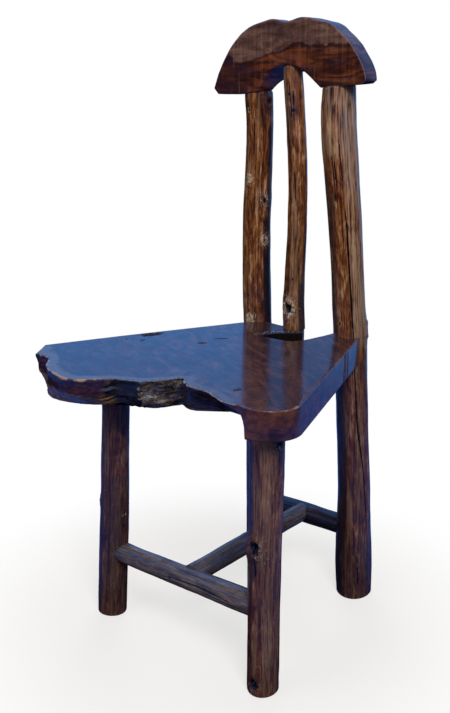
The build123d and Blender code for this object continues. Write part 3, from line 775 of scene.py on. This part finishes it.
def branch_tree():
    """Geometry Nodes that grow a peeled branch round its path."""
    tree = bpy.data.node_groups.new("peeled_branch", "GeometryNodeTree")
    labels = {}
    for label, kind in {
        "Path": "Geometry", "Across": "Vector", "Up": "Vector", "Along": "Vector", "Points round": "Int",
        "Lobe turn": "Float", "Head slope": "Vector", "Swelling": "Float", "Flutes": "Float",
        "Fibres": "Float", "Check depth": "Float", "Seed": "Float", "Knots": "Object", "Checks": "Object",
        "Wood": "Material",
    }.items():
        socket = tree.interface.new_socket(label, in_out="INPUT", socket_type="NodeSocket" + kind)
        labels[label] = socket.identifier
    tree.interface.new_socket("Branch", in_out="OUTPUT", socket_type="NodeSocketGeometry")
    inputs = tree.nodes.new("NodeGroupInput").outputs

    def node(kind, links=(), **settings):
        return add_node(tree, kind, links, **settings)

    def stored(reading, kind="FLOAT"):
        """A reading stored on the mesh or the path."""
        return node("GeometryNodeInputNamedAttribute", {"Name": reading}, data_type=kind).outputs["Attribute"]

    def vector(operation, *others):
        return node("ShaderNodeVectorMath", enumerate(others), operation=operation).outputs["Vector"]

    def dot(a, b):
        made = node("ShaderNodeVectorMath", {0: a, 1: b}, operation="DOT_PRODUCT")
        return Reading(tree, made.outputs["Value"])

    def scaled(a, reading):
        return node("ShaderNodeVectorMath", {0: a, "Scale": reading}, operation="SCALE").outputs["Vector"]

    def store(mesh, reading, value, kind="FLOAT"):
        links = {"Geometry": mesh, "Name": reading, "Value": value}
        made = node("GeometryNodeStoreNamedAttribute", links, data_type=kind, domain="POINT")
        return made.outputs["Geometry"]

    def moved(mesh, offset):
        return node("GeometryNodeSetPosition", {"Geometry": mesh, "Offset": offset}).outputs["Geometry"]

    def geometry_of(label):
        links = {"Object": inputs[label]}
        return node("GeometryNodeObjectInfo", links, transform_space="RELATIVE").outputs["Geometry"]

    def at_nearest(mesh):
        """A function that reads a mesh's own values at its point nearest to here."""
        nearest = node("GeometryNodeSampleNearest", {"Geometry": mesh}, domain="POINT").outputs["Index"]

        def sampled(value, kind="FLOAT"):
            links = {"Geometry": mesh, "Value": value, "Index": nearest}
            return node("GeometryNodeSampleIndex", links, data_type=kind, domain="POINT").outputs["Value"]
        return sampled

    # a round section swept along the chord
    path = node("GeometryNodeMeshToCurve", {"Mesh": inputs["Path"]}).outputs["Curve"]
    ring = node("GeometryNodeCurvePrimitiveCircle", {"Resolution": inputs["Points round"], "Radius": 1.0})
    swept = node("GeometryNodeCurveToMesh", {
        "Curve": path, "Profile Curve": ring.outputs["Curve"], "Scale": stored("thick"), "Fill Caps": True,
    }).outputs["Mesh"]

    # bearing of each point round the heart, and its place on the unrolled surface
    place = node("GeometryNodeInputPosition").outputs["Position"]
    spoke = vector("SUBTRACT", place, stored("heart", "FLOAT_VECTOR"))
    out = vector("NORMALIZE", spoke)
    cosine, sine = dot(out, inputs["Across"]), dot(out, inputs["Up"])
    bearing = sine.math("ARCTAN2", cosine)
    thick = Reading(tree, stored("thick"))
    grain = node("ShaderNodeCombineXYZ", {"X": cosine * thick, "Y": sine * thick, "Z": stored("run")})
    swept = store(swept, "grain", grain.outputs["Vector"], "FLOAT_VECTOR")
    swept = store(swept, "out", out, "FLOAT_VECTOR")

    # lobes and sway bring the section to the measured shape, and the head to its slope
    turn = Reading(tree, inputs["Lobe turn"])
    lobes = (bearing * 2.0 + turn).math("COSINE") * two_lobes
    lobes = lobes + (bearing * 3.0 - turn).math("COSINE") * three_lobes
    measured = vector("ADD", stored("sway", "FLOAT_VECTOR"), scaled(spoke, lobes))
    tilt = scaled(inputs["Along"], dot(spoke, inputs["Head slope"]) * Reading(tree, stored("head")))
    swept = moved(swept, vector("ADD", measured, tilt))

    # swellings, flutes and fibres run along the grain
    seed = node("ShaderNodeCombineXYZ", dict.fromkeys("XYZ", inputs["Seed"])).outputs["Vector"]
    bark = Surface(tree, vector("ADD", stored("grain", "FLOAT_VECTOR"), seed))
    body = (bark.noise((34, 34, 13)) - 0.5) * 3.0
    flutes = (bark.noise((120, 120, 7), 3.0, 0.55, 0.25) - 0.5) * 3.0
    fibres = (bark.noise((420, 420, 22)) - 0.5) * 3.0
    relief = body * inputs["Swelling"] + flutes * inputs["Flutes"] + fibres * inputs["Fibres"]

    # healed knots: a raised collar, ripples round it and a sunken eye
    place = node("GeometryNodeInputPosition").outputs["Position"]
    of_knot = at_nearest(geometry_of("Knots"))
    apart = vector("SUBTRACT", place, of_knot(place, "FLOAT_VECTOR"))
    apart = vector("SUBTRACT", apart, scaled(inputs["Along"], dot(apart, inputs["Along"]) * 0.25))
    gap = node("ShaderNodeVectorMath", {0: apart}, operation="LENGTH").outputs["Value"]
    size = Reading(tree, of_knot(stored("size")))
    wobble = (bark.noise((260, 260, 260)) - 0.5) * 0.5
    reach = Reading(tree, gap) / size + wobble
    ripples = (reach * 13.0).math("COSINE") * reach.bell(0.8) * 0.035
    collar = (reach.bell(0.62) * 0.22 + ripples) * Reading(tree, of_knot(stored("collar")))
    eye = reach.bell(0.26) * Reading(tree, of_knot(stored("eye_depth")))
    relief = relief + (collar - eye * 0.5) * size

    # drying checks: narrow grooves along the grain
    lines = geometry_of("Checks")
    beside = node("GeometryNodeProximity", {0: lines}, target_element="EDGES").outputs["Distance"]
    crooked = (bark.noise((160, 160, 60), 3.0) - 0.5) * 0.0026
    check = ((Reading(tree, beside) + crooked) / at_nearest(lines)(stored("wide"))).bell(1.0)
    relief = relief - check * inputs["Check depth"]

    # a sawn end stays flat: the relief fades into it
    relief = relief * Reading(tree, stored("bark"))
    for reading, value in {
        "knot": reach.bell(0.95), "eye": eye, "ring": reach.math("MINIMUM", 3.0), "check": check,
        "pale": reach.bell(0.9) * Reading(tree, of_knot(stored("pale"))),
    }.items():
        swept = store(swept, reading, value)
    swept = moved(swept, scaled(stored("out", "FLOAT_VECTOR"), relief))
    swept = node("GeometryNodeSetShadeSmooth", {"Geometry": swept}).outputs["Geometry"]
    swept = node("GeometryNodeRealizeInstances", {"Geometry": swept}).outputs["Geometry"]
    swept = node("GeometryNodeSetMaterial", {"Geometry": swept, "Material": inputs["Wood"]})
    node("NodeGroupOutput", {"Branch": swept.outputs["Geometry"]})
    return tree, labels


def painted_light_on_bark(mesh, branch, painted_light_list, greyness):
    """Stores on a grown branch where shade or sheen is painted on it, and how grey it has weathered."""
    grain = np.zeros(len(mesh.vertices) * 3)
    mesh.attributes["grain"].data.foreach_get("vector", grain)
    grain = grain.reshape(-1, 3)
    bearing = np.degrees(np.arctan2(grain[:, 1], grain[:, 0]))
    place = grain[:, 2] + branch.base[2] * branch.along[2]
    dark, bleached = np.zeros(len(grain)), np.zeros(len(grain))
    for from_bearing, to_bearing, from_place, to_place, strength in painted_light_list:
        round_it = np.minimum(bearing - from_bearing, to_bearing - bearing) / painted_light_soft_turn
        round_it = np.clip(round_it + 0.5, 0, 1) if to_bearing - from_bearing < 360 else 1.0
        along_it = np.minimum(place - from_place, to_place - place) / painted_light_soft
        along_it = np.clip(along_it + 0.5, 0, 1)
        dark = np.maximum(dark, strength * round_it * along_it)
        bleached = np.maximum(bleached, -strength * round_it * along_it)
    store_readings(mesh, {"stain": dark, "bleached": bleached, "grey": np.full(len(grain), greyness)})


def line_object(name, points, readings, lines=()):
    """A wire of the given points, with readings on them, for the branch tree to read."""
    mesh = bpy.data.meshes.new(name)
    mesh.from_pydata([tuple(point) for point in points], lines, [])
    store_readings(mesh, readings)
    return placed(name, mesh)


def grown(node, branch, around, seed, marks, slope=(0.0, 0.0, 0.0), sawn_ends=True, greyness=0.0):
    """Grows the bark of a branch along its line, and gives it as a plain mesh."""
    even = np.linspace(0, branch.length, int(branch.length / path_step))
    rim = foot_round * (1 - np.cos(np.linspace(0, math.pi / 2, 5)))
    at = np.unique(np.concatenate([even, rim, branch.length - rim]))
    sway = np.outer(branch.eased(branch.middles[:, 0], even), branch.across)
    sway += np.outer(branch.eased(branch.middles[:, 1], even), branch.up)
    sway = np.column_stack([np.interp(at, even, sway[:, axis]) for axis in range(3)])
    thick = np.interp(at, even, branch.eased(branch.radii, even))
    for gap in (at, branch.length - at) if sawn_ends else ():
        short = np.clip(1 - gap / foot_round, 0, 1)
        thick = thick - foot_round * (1 - np.sqrt(1 - short**2))
    hearts = branch.base + np.outer(at, branch.along)
    path = line_object("path", hearts, {
        "sway": sway, "thick": thick, "run": at, "heart": hearts,
        "bark": np.clip(np.minimum(at, branch.length - at) / end_fade, 0.15, 1),
        "head": np.clip(1 - (branch.length - at) / head_blend, 0, 1),
    }, [(i, i + 1) for i in range(len(at) - 1)])
    spots = [branch.on_bark(place, bearing) for place, bearing, *_ in marks["knots"]]
    sizes = np.array([sizes for _, _, *sizes in marks["knots"]]).T
    knot_points = line_object("knots", spots, dict(zip(("size", "collar", "eye_depth", "pale"), sizes)))
    check_points, check_widths, check_lines = [], [], []
    for width, *line in marks["checks"]:
        run = np.linspace(0, len(line) - 1, 12 * len(line))
        heights, bearings = (np.interp(run, range(len(line)), values) for values in zip(*line))
        check_lines += [(len(check_points) + i, len(check_points) + i + 1) for i in range(len(run) - 1)]
        check_points += [branch.on_bark(*place) for place in zip(heights, bearings)]
        check_widths += list(width * (0.25 + 0.75 * np.sin(math.pi * run / run[-1]) ** 0.5))
    check_wire = line_object("checks", check_points, {"wide": check_widths}, check_lines)
    modifier = path.modifiers.new("peeled_branch", "NODES")
    modifier.node_group = peeled_branch
    for label, value in {
        "Across": tuple(branch.across), "Up": tuple(branch.up), "Along": tuple(branch.along),
        "Points round": around, "Lobe turn": branch.turn, "Head slope": slope, "Swelling": swelling,
        "Flutes": fluting, "Fibres": fibre_height, "Check depth": check_depth, "Seed": seed,
        "Knots": knot_points, "Checks": check_wire, "Wood": branch_wood,
    }.items():
        modifier[branch_labels[label]] = value
    bpy.context.view_layer.update()
    mesh = bpy.data.meshes.new_from_object(path.evaluated_get(bpy.context.evaluated_depsgraph_get()))
    for helper in (path, knot_points, check_wire):
        bpy.data.objects.remove(helper)
    mesh.name = node + "_wood"
    painted_light_on_bark(mesh, branch, marks["painted_light"], greyness)
    return placed(mesh.name, mesh)


def branch_looks(surface):
    """Orange-brown and ochre fibres along the grain, dark flecks, painted shade and sheen, pale knots and
    black checks.
    """
    read = surface.read
    grain = Surface(surface.tree, read("grain", "Vector").socket).noise
    broad = grain((32, 32, 9), 3.0)
    streaks = grain((150, 150, 7), 3.0, 0.6, 0.4)
    fibres = grain((500, 500, 18), 2.0, 0.55)
    fine = grain((900, 900, 55))
    mottle = grain((105, 105, 36), 4.0, 0.68, 1.0)
    tone = (streaks - 0.5) * 0.6 + (fibres - 0.5) * 0.7 + (fine - 0.5) * 0.55 + (broad - 0.5) * 0.6 + 0.5
    tone = tone + (mottle - 0.5) * 0.95
    worn = (grain((45, 45, 14), 3.0, 0.6) + (fibres - 0.5) * 0.3).between(0.46, 0.60)
    # painted sheen: a pale highlight along the fibres where the branch is marked with it
    painted_sheen_share = read("bleached") * (fibres * 0.6 + streaks * 0.4).between(0.36, 0.60)
    ochre = grain((75, 75, 5)).between(0.50, 0.66) * fibres.between(0.30, 0.62)
    flecks = (grain((380, 380, 45)) + (broad - 0.5) * 0.3).between(0.64, 0.72)
    wood = tone.shades(
        (0.24, 0.018, 0.005, 0.006), (0.38, 0.075, 0.022, 0.008), (0.50, 0.170, 0.056, 0.016),
        (0.62, 0.280, 0.112, 0.042), (0.78, 0.480, 0.320, 0.190),
    ).stained(worn * 0.4, (0.110, 0.037, 0.016)).stained(painted_sheen_share, (0.420, 0.300, 0.220))
    wood = wood.stained(ochre * 0.55, (0.320, 0.240, 0.155)).stained(flecks * 0.7, (0.014, 0.006, 0.006))
    weathered = tone.shades(
        (0.25, 0.070, 0.060, 0.068), (0.50, 0.158, 0.147, 0.154), (0.80, 0.300, 0.280, 0.268),
    )
    # painted shade under the seat: the branches darken below the slab, fading in over 0.07 under its top
    height = add_node(surface.tree, "ShaderNodeSeparateXYZ", {0: surface.place}).outputs["Z"]
    below = Reading(surface.tree, height) + (broad - 0.5) * 0.1
    below = below.between(slab_top, slab_top - 0.07)
    # painted shade, darker along the streaks, where the branch is marked with it
    dark = read("stain") * ((streaks - 0.5) * 1.2 + 1.0).math("MINIMUM", 1.0)
    wood = wood.stained(read("grey"), weathered).stained(below * 0.40, (0.026, 0.015, 0.040))
    wood = wood.stained(dark, (0.009, 0.007, 0.018))

    # knots: wavy rings in pale and dark wood round a black eye
    scab = grain((420, 420, 300), 3.0)
    rings = (read("ring") * 11.0 + scab * 13.0).math("COSINE") * 0.5 + 0.5
    pale = (read("pale") + (scab - 0.5) * 1.8).between(0.30, 0.80) * (rings * 0.7 + 0.3)
    wood = wood.stained(read("knot") * (rings * -0.4 + 0.7), (0.050, 0.018, 0.010))
    wood = wood.stained(pale, (0.620, 0.510, 0.370))
    wood = wood.stained(read("eye").between(0.12, 0.40), (0.006, 0.004, 0.004))
    wood = wood.stained(read("check").between(0.20, 0.60), (0.004, 0.002, 0.003))
    return wood, grain((600, 600, 40), 4.0, 0.65)


branch_wood = varnished("varnished_branch_wood", branch_looks, relief_depth=0.0006, coat_roughness=0.16)
peeled_branch, branch_labels = branch_tree()
for place, (node_name, (turn, around, skip)) in enumerate(uprights.items()):
    branch, slope = standing_branch(node_name, turn, skip)
    marks = {"knots": knots[node_name], "checks": checks[node_name], "painted_light": painted_light[node_name]}
    wood_piece = grown(node_name, branch, around, 3.7 * place + 1.3, marks, slope)
    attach(wood_piece, "root")
    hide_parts(node_name)


# ---- Stretchers ----
# Thinner peeled branches that tie the legs near the floor.  Their ends are scribed to the legs' round
# surfaces, and the middle one's to the other two, with a round tenon inside.
stretcher_bury = 0.005  # from a tenon's tip to the end of the bark, both inside the leg
stretcher_blind = 0.042  # at either end, where the scribed surface hides the branch's section
stretcher_grey = 0.8

# per stretcher: lobe turn, points round a section, and its marks as on the uprights.  Places count from the
# first tenon's tip; a bearing of 90 degrees is up, and 180 is the front's side
stretchers = {
    "front_stretcher": (0.3, 120, dict(
        knots=[(0.215, 168, 0.007, 0.6, 0.8, 0.1), (0.120, 100, 0.010, 0.6, 0.0, 0.2)],
        checks=[
            (0.0012, (0.140, 176), (0.200, 168), (0.240, 176), (0.262, 180)),
            (0.0008, (0.100, 188), (0.150, 182)),
            (0.0009, (0.205, 190), (0.290, 196)),
        ],
        # painted shade at the first end, against the leg
        painted_light=[(-180, 180, 0.0, 0.030, 0.6)],
    )),
    "rear_stretcher": (1.7, 110, dict(
        knots=[(0.105, 120, 0.009, 0.6, 0.0, 0.1)], checks=[(0.0006, (0.060, 200), (0.080, 205))],
        # painted shade over the whole rear stretcher
        painted_light=[(-180, 180, 0.0, 1.0, 0.96)],
    )),
    "middle_stretcher": (2.5, 110, dict(
        knots=[(0.135, 60, 0.009, 0.6, 0.0, 0.1)], checks=[(0.0006, (0.060, 230), (0.080, 236))],
        # a lighter painted shade over the whole middle stretcher
        painted_light=[(-180, 180, 0.0, 1.0, 0.25)],
    )),
}


def long_axis(points):
    """The middle of a long thin piece's box, and the direction that it runs in."""
    centre = (points.min(axis=0) + points.max(axis=0)) / 2
    along = np.linalg.svd(points - centre, full_matrices=False)[2][0]
    return centre, along if along[0] + along[1] > 0 else -along


def round_axes(along):
    """The level direction across a lying piece, and the one that points up from it."""
    across = np.cross(Z_AXIS, along)
    across /= np.linalg.norm(across)
    return across, np.cross(along, across)


def lying_branch(node, turn):
    """Measures a stretcher, on the line through its heart, nearly from tip to tip of its tenons."""
    triangles = triangles_of(node)
    points = triangles.reshape(-1, 3)
    centre, along = long_axis(points)
    for _ in range(3):
        across, up = round_axes(along)
        reach = (points - centre) @ along
        hearts = []
        for share in (0.3, 0.7):
            spot = centre + along * (reach.min() + np.ptp(reach) * share)
            middle, _ = section(triangles, spot, along, across, up)
            hearts.append(spot + across * middle[0] + up * middle[1])
        along = (hearts[1] - hearts[0]) / np.linalg.norm(hearts[1] - hearts[0])
    base = hearts[0] + along * (reach.min() + stretcher_bury - (hearts[0] - centre) @ along)
    length = np.ptp(reach) - 2 * stretcher_bury
    places = np.linspace(stretcher_blind, length - stretcher_blind, int(length / station_step))
    cuts = [section(triangles, base + along * place, along, across, up) for place in places]
    return Branch(base, along, length, across, up, places, cuts, turn)


for place, (node_name, (turn, around, marks)) in enumerate(stretchers.items()):
    wood_piece = grown(
        node_name, lying_branch(node_name, turn), around, 4.1 * place + 31.0, marks,
        sawn_ends=False, greyness=stretcher_grey,
    )
    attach(wood_piece, "root")
    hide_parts(node_name)


# ---- Crest rail ----
# A short thick plank sawn to a low arch with a wavy crown, its heartwood dark and orange under a greyer
# band, and a dark line between them.  It sits on the tenons of the posts and the spindle.
crest_cut = 0.006  # behind its front face, where its outline is taken
crest_rear_cut = 0.0025  # ahead of its rear face, where the outline there is found: the arch is splayed
crest_splay = 0.022  # how far out of the front outline the rear one is looked for
crest_column_step = 0.0018
crest_rim = 0.0022  # radius of the worn edge
crest_rows = 14
crest_grid = 0.004
crest_wave, crest_flats = 0.0004, 0.0005  # depth of the tool marks on its faces and round its edge
crown_height = 0.877  # of the arch's crown, over the floor

# the dark line across the front face, from left to right: along from the middle, height over the floor
crest_seam = [
    (-0.105, 0.886), (-0.084, 0.877), (-0.0635, 0.880), (-0.037, 0.890), (-0.019, 0.894),
    (0.003, 0.897), (0.013, 0.903), (0.023, 0.904), (0.074, 0.902), (0.1045, 0.900),
]

crest_triangles = triangles_of("crest_rail")
crest_normals, crest_areas = normals_of(crest_triangles)
crest_ahead = crest_normals[np.where(crest_normals[:, 1] < -0.9, crest_areas, 0).argmax()]
crest_along = np.cross(Z_AXIS, crest_ahead)
crest_depths = crest_triangles.reshape(-1, 3) @ crest_ahead
crest_reach = crest_triangles.reshape(-1, 3) @ crest_along
crest_rear, crest_front = crest_depths.min(), crest_depths.max()
crest_middle = (crest_reach.min() + crest_reach.max()) / 2
crest_outline = cut_line("crest_rail", crest_ahead * (crest_front - crest_cut), crest_ahead)
crest_outline = counter_clockwise(crest_outline, crest_along, Z_AXIS)
crest_outline = evenly(crest_outline, crest_column_step, crest_outline[crest_outline[:, 2].argmax()])
crest_out = outward(crest_outline, crest_ahead, window=2)
crest_surface = surface_of("crest_rail")
crest_span = crest_front - crest_cut - (crest_rear + crest_rear_cut)
crest_drift = []  # how far out of the front outline the rear one lies
for point, out in zip(crest_outline, crest_out):
    start = Vector(point - crest_ahead * crest_span + out * crest_splay)
    gap = crest_surface.ray_cast(start, -Vector(out), 2 * crest_splay)[3]
    crest_drift.append(crest_splay - gap if gap is not None else 0.0)
crest_slant = crest_out * np.array(crest_drift)[:, None] / crest_span
crest_walls = [
    crest_outline + crest_ahead * (depth - crest_front + crest_cut)
    + crest_slant * (crest_front - crest_cut - depth) - crest_out * inset
    for depth, inset in rim_rows(crest_rear, crest_front, crest_rim, crest_rows)
]
crest_points, crest_faces, crest_groups = closed_board(crest_walls, crest_along, Z_AXIS, crest_grid)

# the scraper's shallow waves on the faces, and the flats that a drawknife leaves round the edge
crest_u = crest_points @ crest_along - crest_middle
crest_depth = crest_points @ crest_ahead
for index, point in enumerate(crest_points):
    u, z = crest_u[index], point[2]
    if index >= crest_groups[0]:
        facing = 1 if crest_depth[index] > (crest_front + crest_rear) / 2 else -1
        crest_points[index] += crest_ahead * facing * crest_wave * (lumps(u, z, 0.03, 0.012, 3.0) - 0.9)
    else:
        flats = crest_flats * (lumps(u, z, 0.014, 0.014, crest_depth[index] / 0.02) - 0.7)
        crest_points[index] += crest_out[index % len(crest_outline)] * flats


def crest_looks(surface):
    """A grey-brown band over orange-brown heartwood, a dark wavy line between them, fine lines across, and a
    painted highlight along the front edge's right part.
    """
    tree, read = surface.tree, surface.read
    along, rise = read("along"), read("height")
    place = add_node(tree, "ShaderNodeCombineXYZ", {"X": along, "Y": read("depth"), "Z": rise})
    noise_at = Surface(tree, place.outputs["Vector"]).noise
    ragged = noise_at((38, 30, 60), 5.0, 0.6, 0.5) - 0.5
    over = read("seam") + ragged * 0.026
    figure = noise_at((16, 12, 62), 6.0, 0.62, 1.3) + (noise_at((260, 40, 12), 3.0, 0.6) - 0.5) * 0.35
    grey = figure.shades(
        (0.30, 0.032, 0.012, 0.011), (0.50, 0.105, 0.050, 0.038), (0.70, 0.210, 0.125, 0.095),
    )

    # an orange glow in the heartwood, round the left of the arch's crown
    crown = (along * along + (rise - crown_height) * (rise - crown_height)).math("SQRT")
    glow = (crown + along * 0.2 - 0.036 + ragged * 0.03).bell(0.013)
    glow = glow * along.between(0.050, 0.005) * figure.between(0.38, 0.55) * 0.6
    horn = (along * -1.0 + rise * 0.5 + ragged * 0.05).between(0.470, 0.520)
    wood = figure.shades(
        (0.30, 0.014, 0.004, 0.004), (0.45, 0.042, 0.010, 0.006),
        (0.56, 0.090, 0.024, 0.009), (0.72, 0.190, 0.062, 0.020),
    ).stained(glow, (0.240, 0.060, 0.018)).stained(over.between(-0.0015, 0.003), grey)
    wood = wood.stained(horn * over.between(0.006, -0.002) * 0.7, (0.030, 0.009, 0.014))
    wood = wood.stained((over + 0.002).bell(0.0028) * 0.75, (0.016, 0.005, 0.005))
    scratches = noise_at((320, 40, 9), 3.0, 0.6).between(0.60, 0.78)
    wood = wood.stained(scratches * 0.35, (0.360, 0.200, 0.110))
    # painted highlight along the front face's edge, towards the right
    wood = wood.stained(read("worn") * along.between(0.02, 0.06) * 0.5, (0.340, 0.220, 0.150))
    return wood, surface.noise((500, 90, 60), 3.0, 0.6)


seam_u, seam_height = np.array(crest_seam).T
# the row of points that carries the painted highlight along the front edge
front_edge_glint = np.zeros(len(crest_points))
edge_row = len(crest_walls) - rim_steps  # half-way round the front face's worn edge
front_edge_glint[edge_row * len(crest_outline):(edge_row + 1) * len(crest_outline)] = 1.0
crest = wooden("crest_rail_wood", crest_points, crest_faces, {
    "along": crest_u,
    "depth": crest_depth - crest_rear,
    "height": crest_points[:, 2],
    "seam": crest_points[:, 2] - np.interp(crest_u, seam_u, seam_height),
    "worn": front_edge_glint,
}, varnished("varnished_crest_wood", crest_looks, relief_depth=0.00018))
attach(crest, "root")
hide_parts("crest_rail")


# ---- Pegs ----
# Two whittled wooden pegs, driven in from behind, that lock the slab's rear corners in the posts.  Only
# their ends show, behind the posts, and the varnish runs over them.
peg_around = 28
peg_dome = 0.0008  # height of the rounded end
peg_grid = 0.0015  # between points on its ends


def peg_rows(points):
    """Rows of points for one peg, from the tip in the slab to the end behind the post, and its own axes."""
    centre, along = long_axis(points)
    along = along if along[1] > 0 else -along
    across, up = round_axes(along)
    reach = (points - centre) @ along
    radius = np.abs((points - centre) @ up).max()
    turns = np.linspace(0, 2 * math.pi, peg_around, endpoint=False)
    ring = np.outer(np.cos(turns), across) + np.outer(np.sin(turns), up)
    tip, end = reach.min(), reach.max()
    stations = [
        (tip, radius * 0.8), (tip + radius * 0.3, radius), (end - peg_dome, radius),
        (end - peg_dome * 0.3, radius * 0.93), (end, radius * 0.75),
    ]
    return [centre + along * at + ring * size for at, size in stations], across, up


def peg_looks(surface):
    """End grain: darker than the posts, with fine pores."""
    pores = surface.noise((900, 900, 900), 3.0, 0.6)
    return pores.shades((0.35, 0.035, 0.014, 0.008), (0.65, 0.150, 0.070, 0.030)), pores


all_pegs = triangles_of("housing_pegs").reshape(-1, 3)
halfway = (all_pegs[:, 0].min() + all_pegs[:, 0].max()) / 2
peg_points, peg_faces = np.zeros((0, 3)), []
for one_peg in (all_pegs[all_pegs[:, 0] < halfway], all_pegs[all_pegs[:, 0] >= halfway]):
    points, faces, _ = closed_board(*peg_rows(one_peg), peg_grid)
    peg_faces += [[len(peg_points) + i for i in face] for face in faces]
    peg_points = np.vstack([peg_points, points])
peg_wood = varnished("varnished_peg_wood", peg_looks, relief_depth=0.0002, coat_roughness=0.2)
pegs = wooden("housing_pegs_wood", peg_points, peg_faces, {}, peg_wood)
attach(pegs, "root")
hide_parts("housing_pegs")


# ---- The room, lamps and camera ----
# A pale floor that fades to white, a sky and a blue ground that only the varnish mirrors, and soft light
# from above, ahead and behind that the varnish doesn't mirror.
floor_half = 6.0
sky_strength = 1.27
floor_mesh = bpy.data.meshes.new("floor")
floor_corners = [(x * floor_half, y * floor_half, 0) for x, y in ((-1, -1), (1, -1), (1, 1), (-1, 1))]
floor_mesh.from_pydata(floor_corners, [], [(0, 1, 2, 3)])
floor = placed("floor", floor_mesh)
floor_paint = bpy.data.materials.new("pale_floor")
floor_paint.use_nodes = True
tree = floor_paint.node_tree
paint = tree.nodes["Principled BSDF"]
ray = add_node(tree, "ShaderNodeLightPath").outputs
away = add_node(tree, "ShaderNodeVectorMath", {0: Surface(tree).place}, operation="LENGTH").outputs["Value"]
away = Reading(tree, away)


def glowing(colour):
    """A surface that shines in one colour."""
    return add_node(tree, "ShaderNodeEmission", {"Color": (*colour, 1.0)}).outputs[0]


def mixed(share, first, second):
    """The second look over the first one where the share is high."""
    return add_node(tree, "ShaderNodeMixShader", {"Fac": share, 1: first, 2: second}).outputs[0]


for slot, value in {
    "Base Color": Colour(tree, (0.10, 0.11, 0.14)).stained(ray["Is Camera Ray"], (0.86, 0.86, 0.86)),
    "Roughness": 1.0,
    "Specular IOR Level": 0.0,
}.items():
    feed(tree, value, paint.inputs[slot])
whiteness = (away.between(0.20, 0.55) * 0.35 + 0.65) * Reading(tree, ray["Is Camera Ray"])
seen_floor = mixed(whiteness, paint.outputs[0], glowing((1, 1, 1)))
clear = add_node(tree, "ShaderNodeBsdfTransparent").outputs[0]
blue_ring = away.between(0.15, 0.45) * away.between(1.80, 0.80)
mirrored_ground = mixed(blue_ring, clear, glowing((0.022, 0.080, 0.360)))
floor_shader = mixed(ray["Is Glossy Ray"], seen_floor, mirrored_ground)
tree.links.new(floor_shader, tree.nodes["Material Output"].inputs["Surface"])
floor_mesh.materials.append(floor_paint)

world = bpy.data.worlds.new("studio")
bpy.context.scene.world = world
world.use_nodes = True
tree = world.node_tree
ray = add_node(tree, "ShaderNodeLightPath").outputs
direction = tree.nodes.new("ShaderNodeTexCoord").outputs["Generated"]
east, north, height = (
    Reading(tree, part) for part in add_node(tree, "ShaderNodeSeparateXYZ", {0: direction}).outputs
)
behind = (north - east.math("ABSOLUTE")).between(0.45, 0.85)
sky = ((height + behind * 0.52) * 0.5 + 0.5).shades(
    (0.50, 0.001, 0.002, 0.006), (0.56, 0.030, 0.110, 0.360),
    (0.61, 0.088, 0.330, 0.850), (0.80, 0.110, 0.340, 0.850),
)
bright = add_node(tree, "ShaderNodeVectorMath", {0: sky, 1: (sky_strength,) * 3}, operation="MULTIPLY")

# a dark band stands in the mirrored sky, to one side of the line of sight over the chair, and lays a painted
# dark reflection on the slab's top
sight_cosine, sight_sine = 0.756, 0.655
aside = (east * sight_cosine + north * sight_sine) / (north * sight_cosine - east * sight_sine)
dark_band_mirrored = aside.between(0.03, 0.10) * 0.4 + (aside - 0.0575).bell(0.014) * 0.6
sky = Colour(tree, bright.outputs["Vector"]).stained(dark_band_mirrored, (0.0, 0.0, 0.0))
shown = Colour(tree, (0.21, 0.20, 0.20)).stained(ray["Is Glossy Ray"], sky)
shown = shown.stained(ray["Is Camera Ray"], (1.0, 1.0, 1.0))
feed(tree, shown, tree.nodes["Background"].inputs["Color"])

for name, place, target, size, power, colour in (
    ("key_lamp", (1.7, -1.3, 2.4), (0, 0, 0.5), 1.0, 55, (1.0, 0.92, 0.82)),
    ("fill_lamp", (-0.9, -2.2, 1.8), (0, 0, 0.6), 1.6, 14, (1.0, 0.93, 0.86)),
    ("back_lamp", (-1.44, 1.66, 0.75), (0, 0, 0.5), 1.4, 26, (1.0, 0.95, 0.90)),
):
    lamp = bpy.data.lights.new(name, "AREA")
    lamp.size, lamp.energy, lamp.color = size, power, colour
    holder = placed(name, lamp)
    holder.visible_glossy = False
    holder.location = place
    holder.rotation_euler = (Vector(target) - Vector(place)).to_track_quat("-Z", "Y").to_euler()

# the camera stands to the right of the chair's front, a little above the crest
camera_place = (0.8618, -0.9914, 0.8638)
camera_azimuth, camera_elevation, camera_roll = 40.878, 17.456, -0.16
lens_pixels, frame_pixels = 905.82, 713
camera = bpy.data.cameras.new("camera")
camera.sensor_width = 36.0
camera.lens = camera.sensor_width * lens_pixels / frame_pixels
camera_stand = placed("camera", camera)
camera_stand.location = camera_place
a, e, r = (math.radians(angle) for angle in (camera_azimuth, camera_elevation, camera_roll))
back = Vector((math.sin(a) * math.cos(e), -math.cos(a) * math.cos(e), math.sin(e)))
right = Vector((math.cos(a), math.sin(a), 0))
above = back.cross(right)
axes = Matrix((right * math.cos(r) + above * math.sin(r), above * math.cos(r) - right * math.sin(r), back))
camera_stand.rotation_mode = "QUATERNION"
camera_stand.rotation_quaternion = axes.transposed().to_quaternion()
bpy.context.scene.camera = camera_stand
bpy.context.scene.view_settings.view_transform = "Standard"
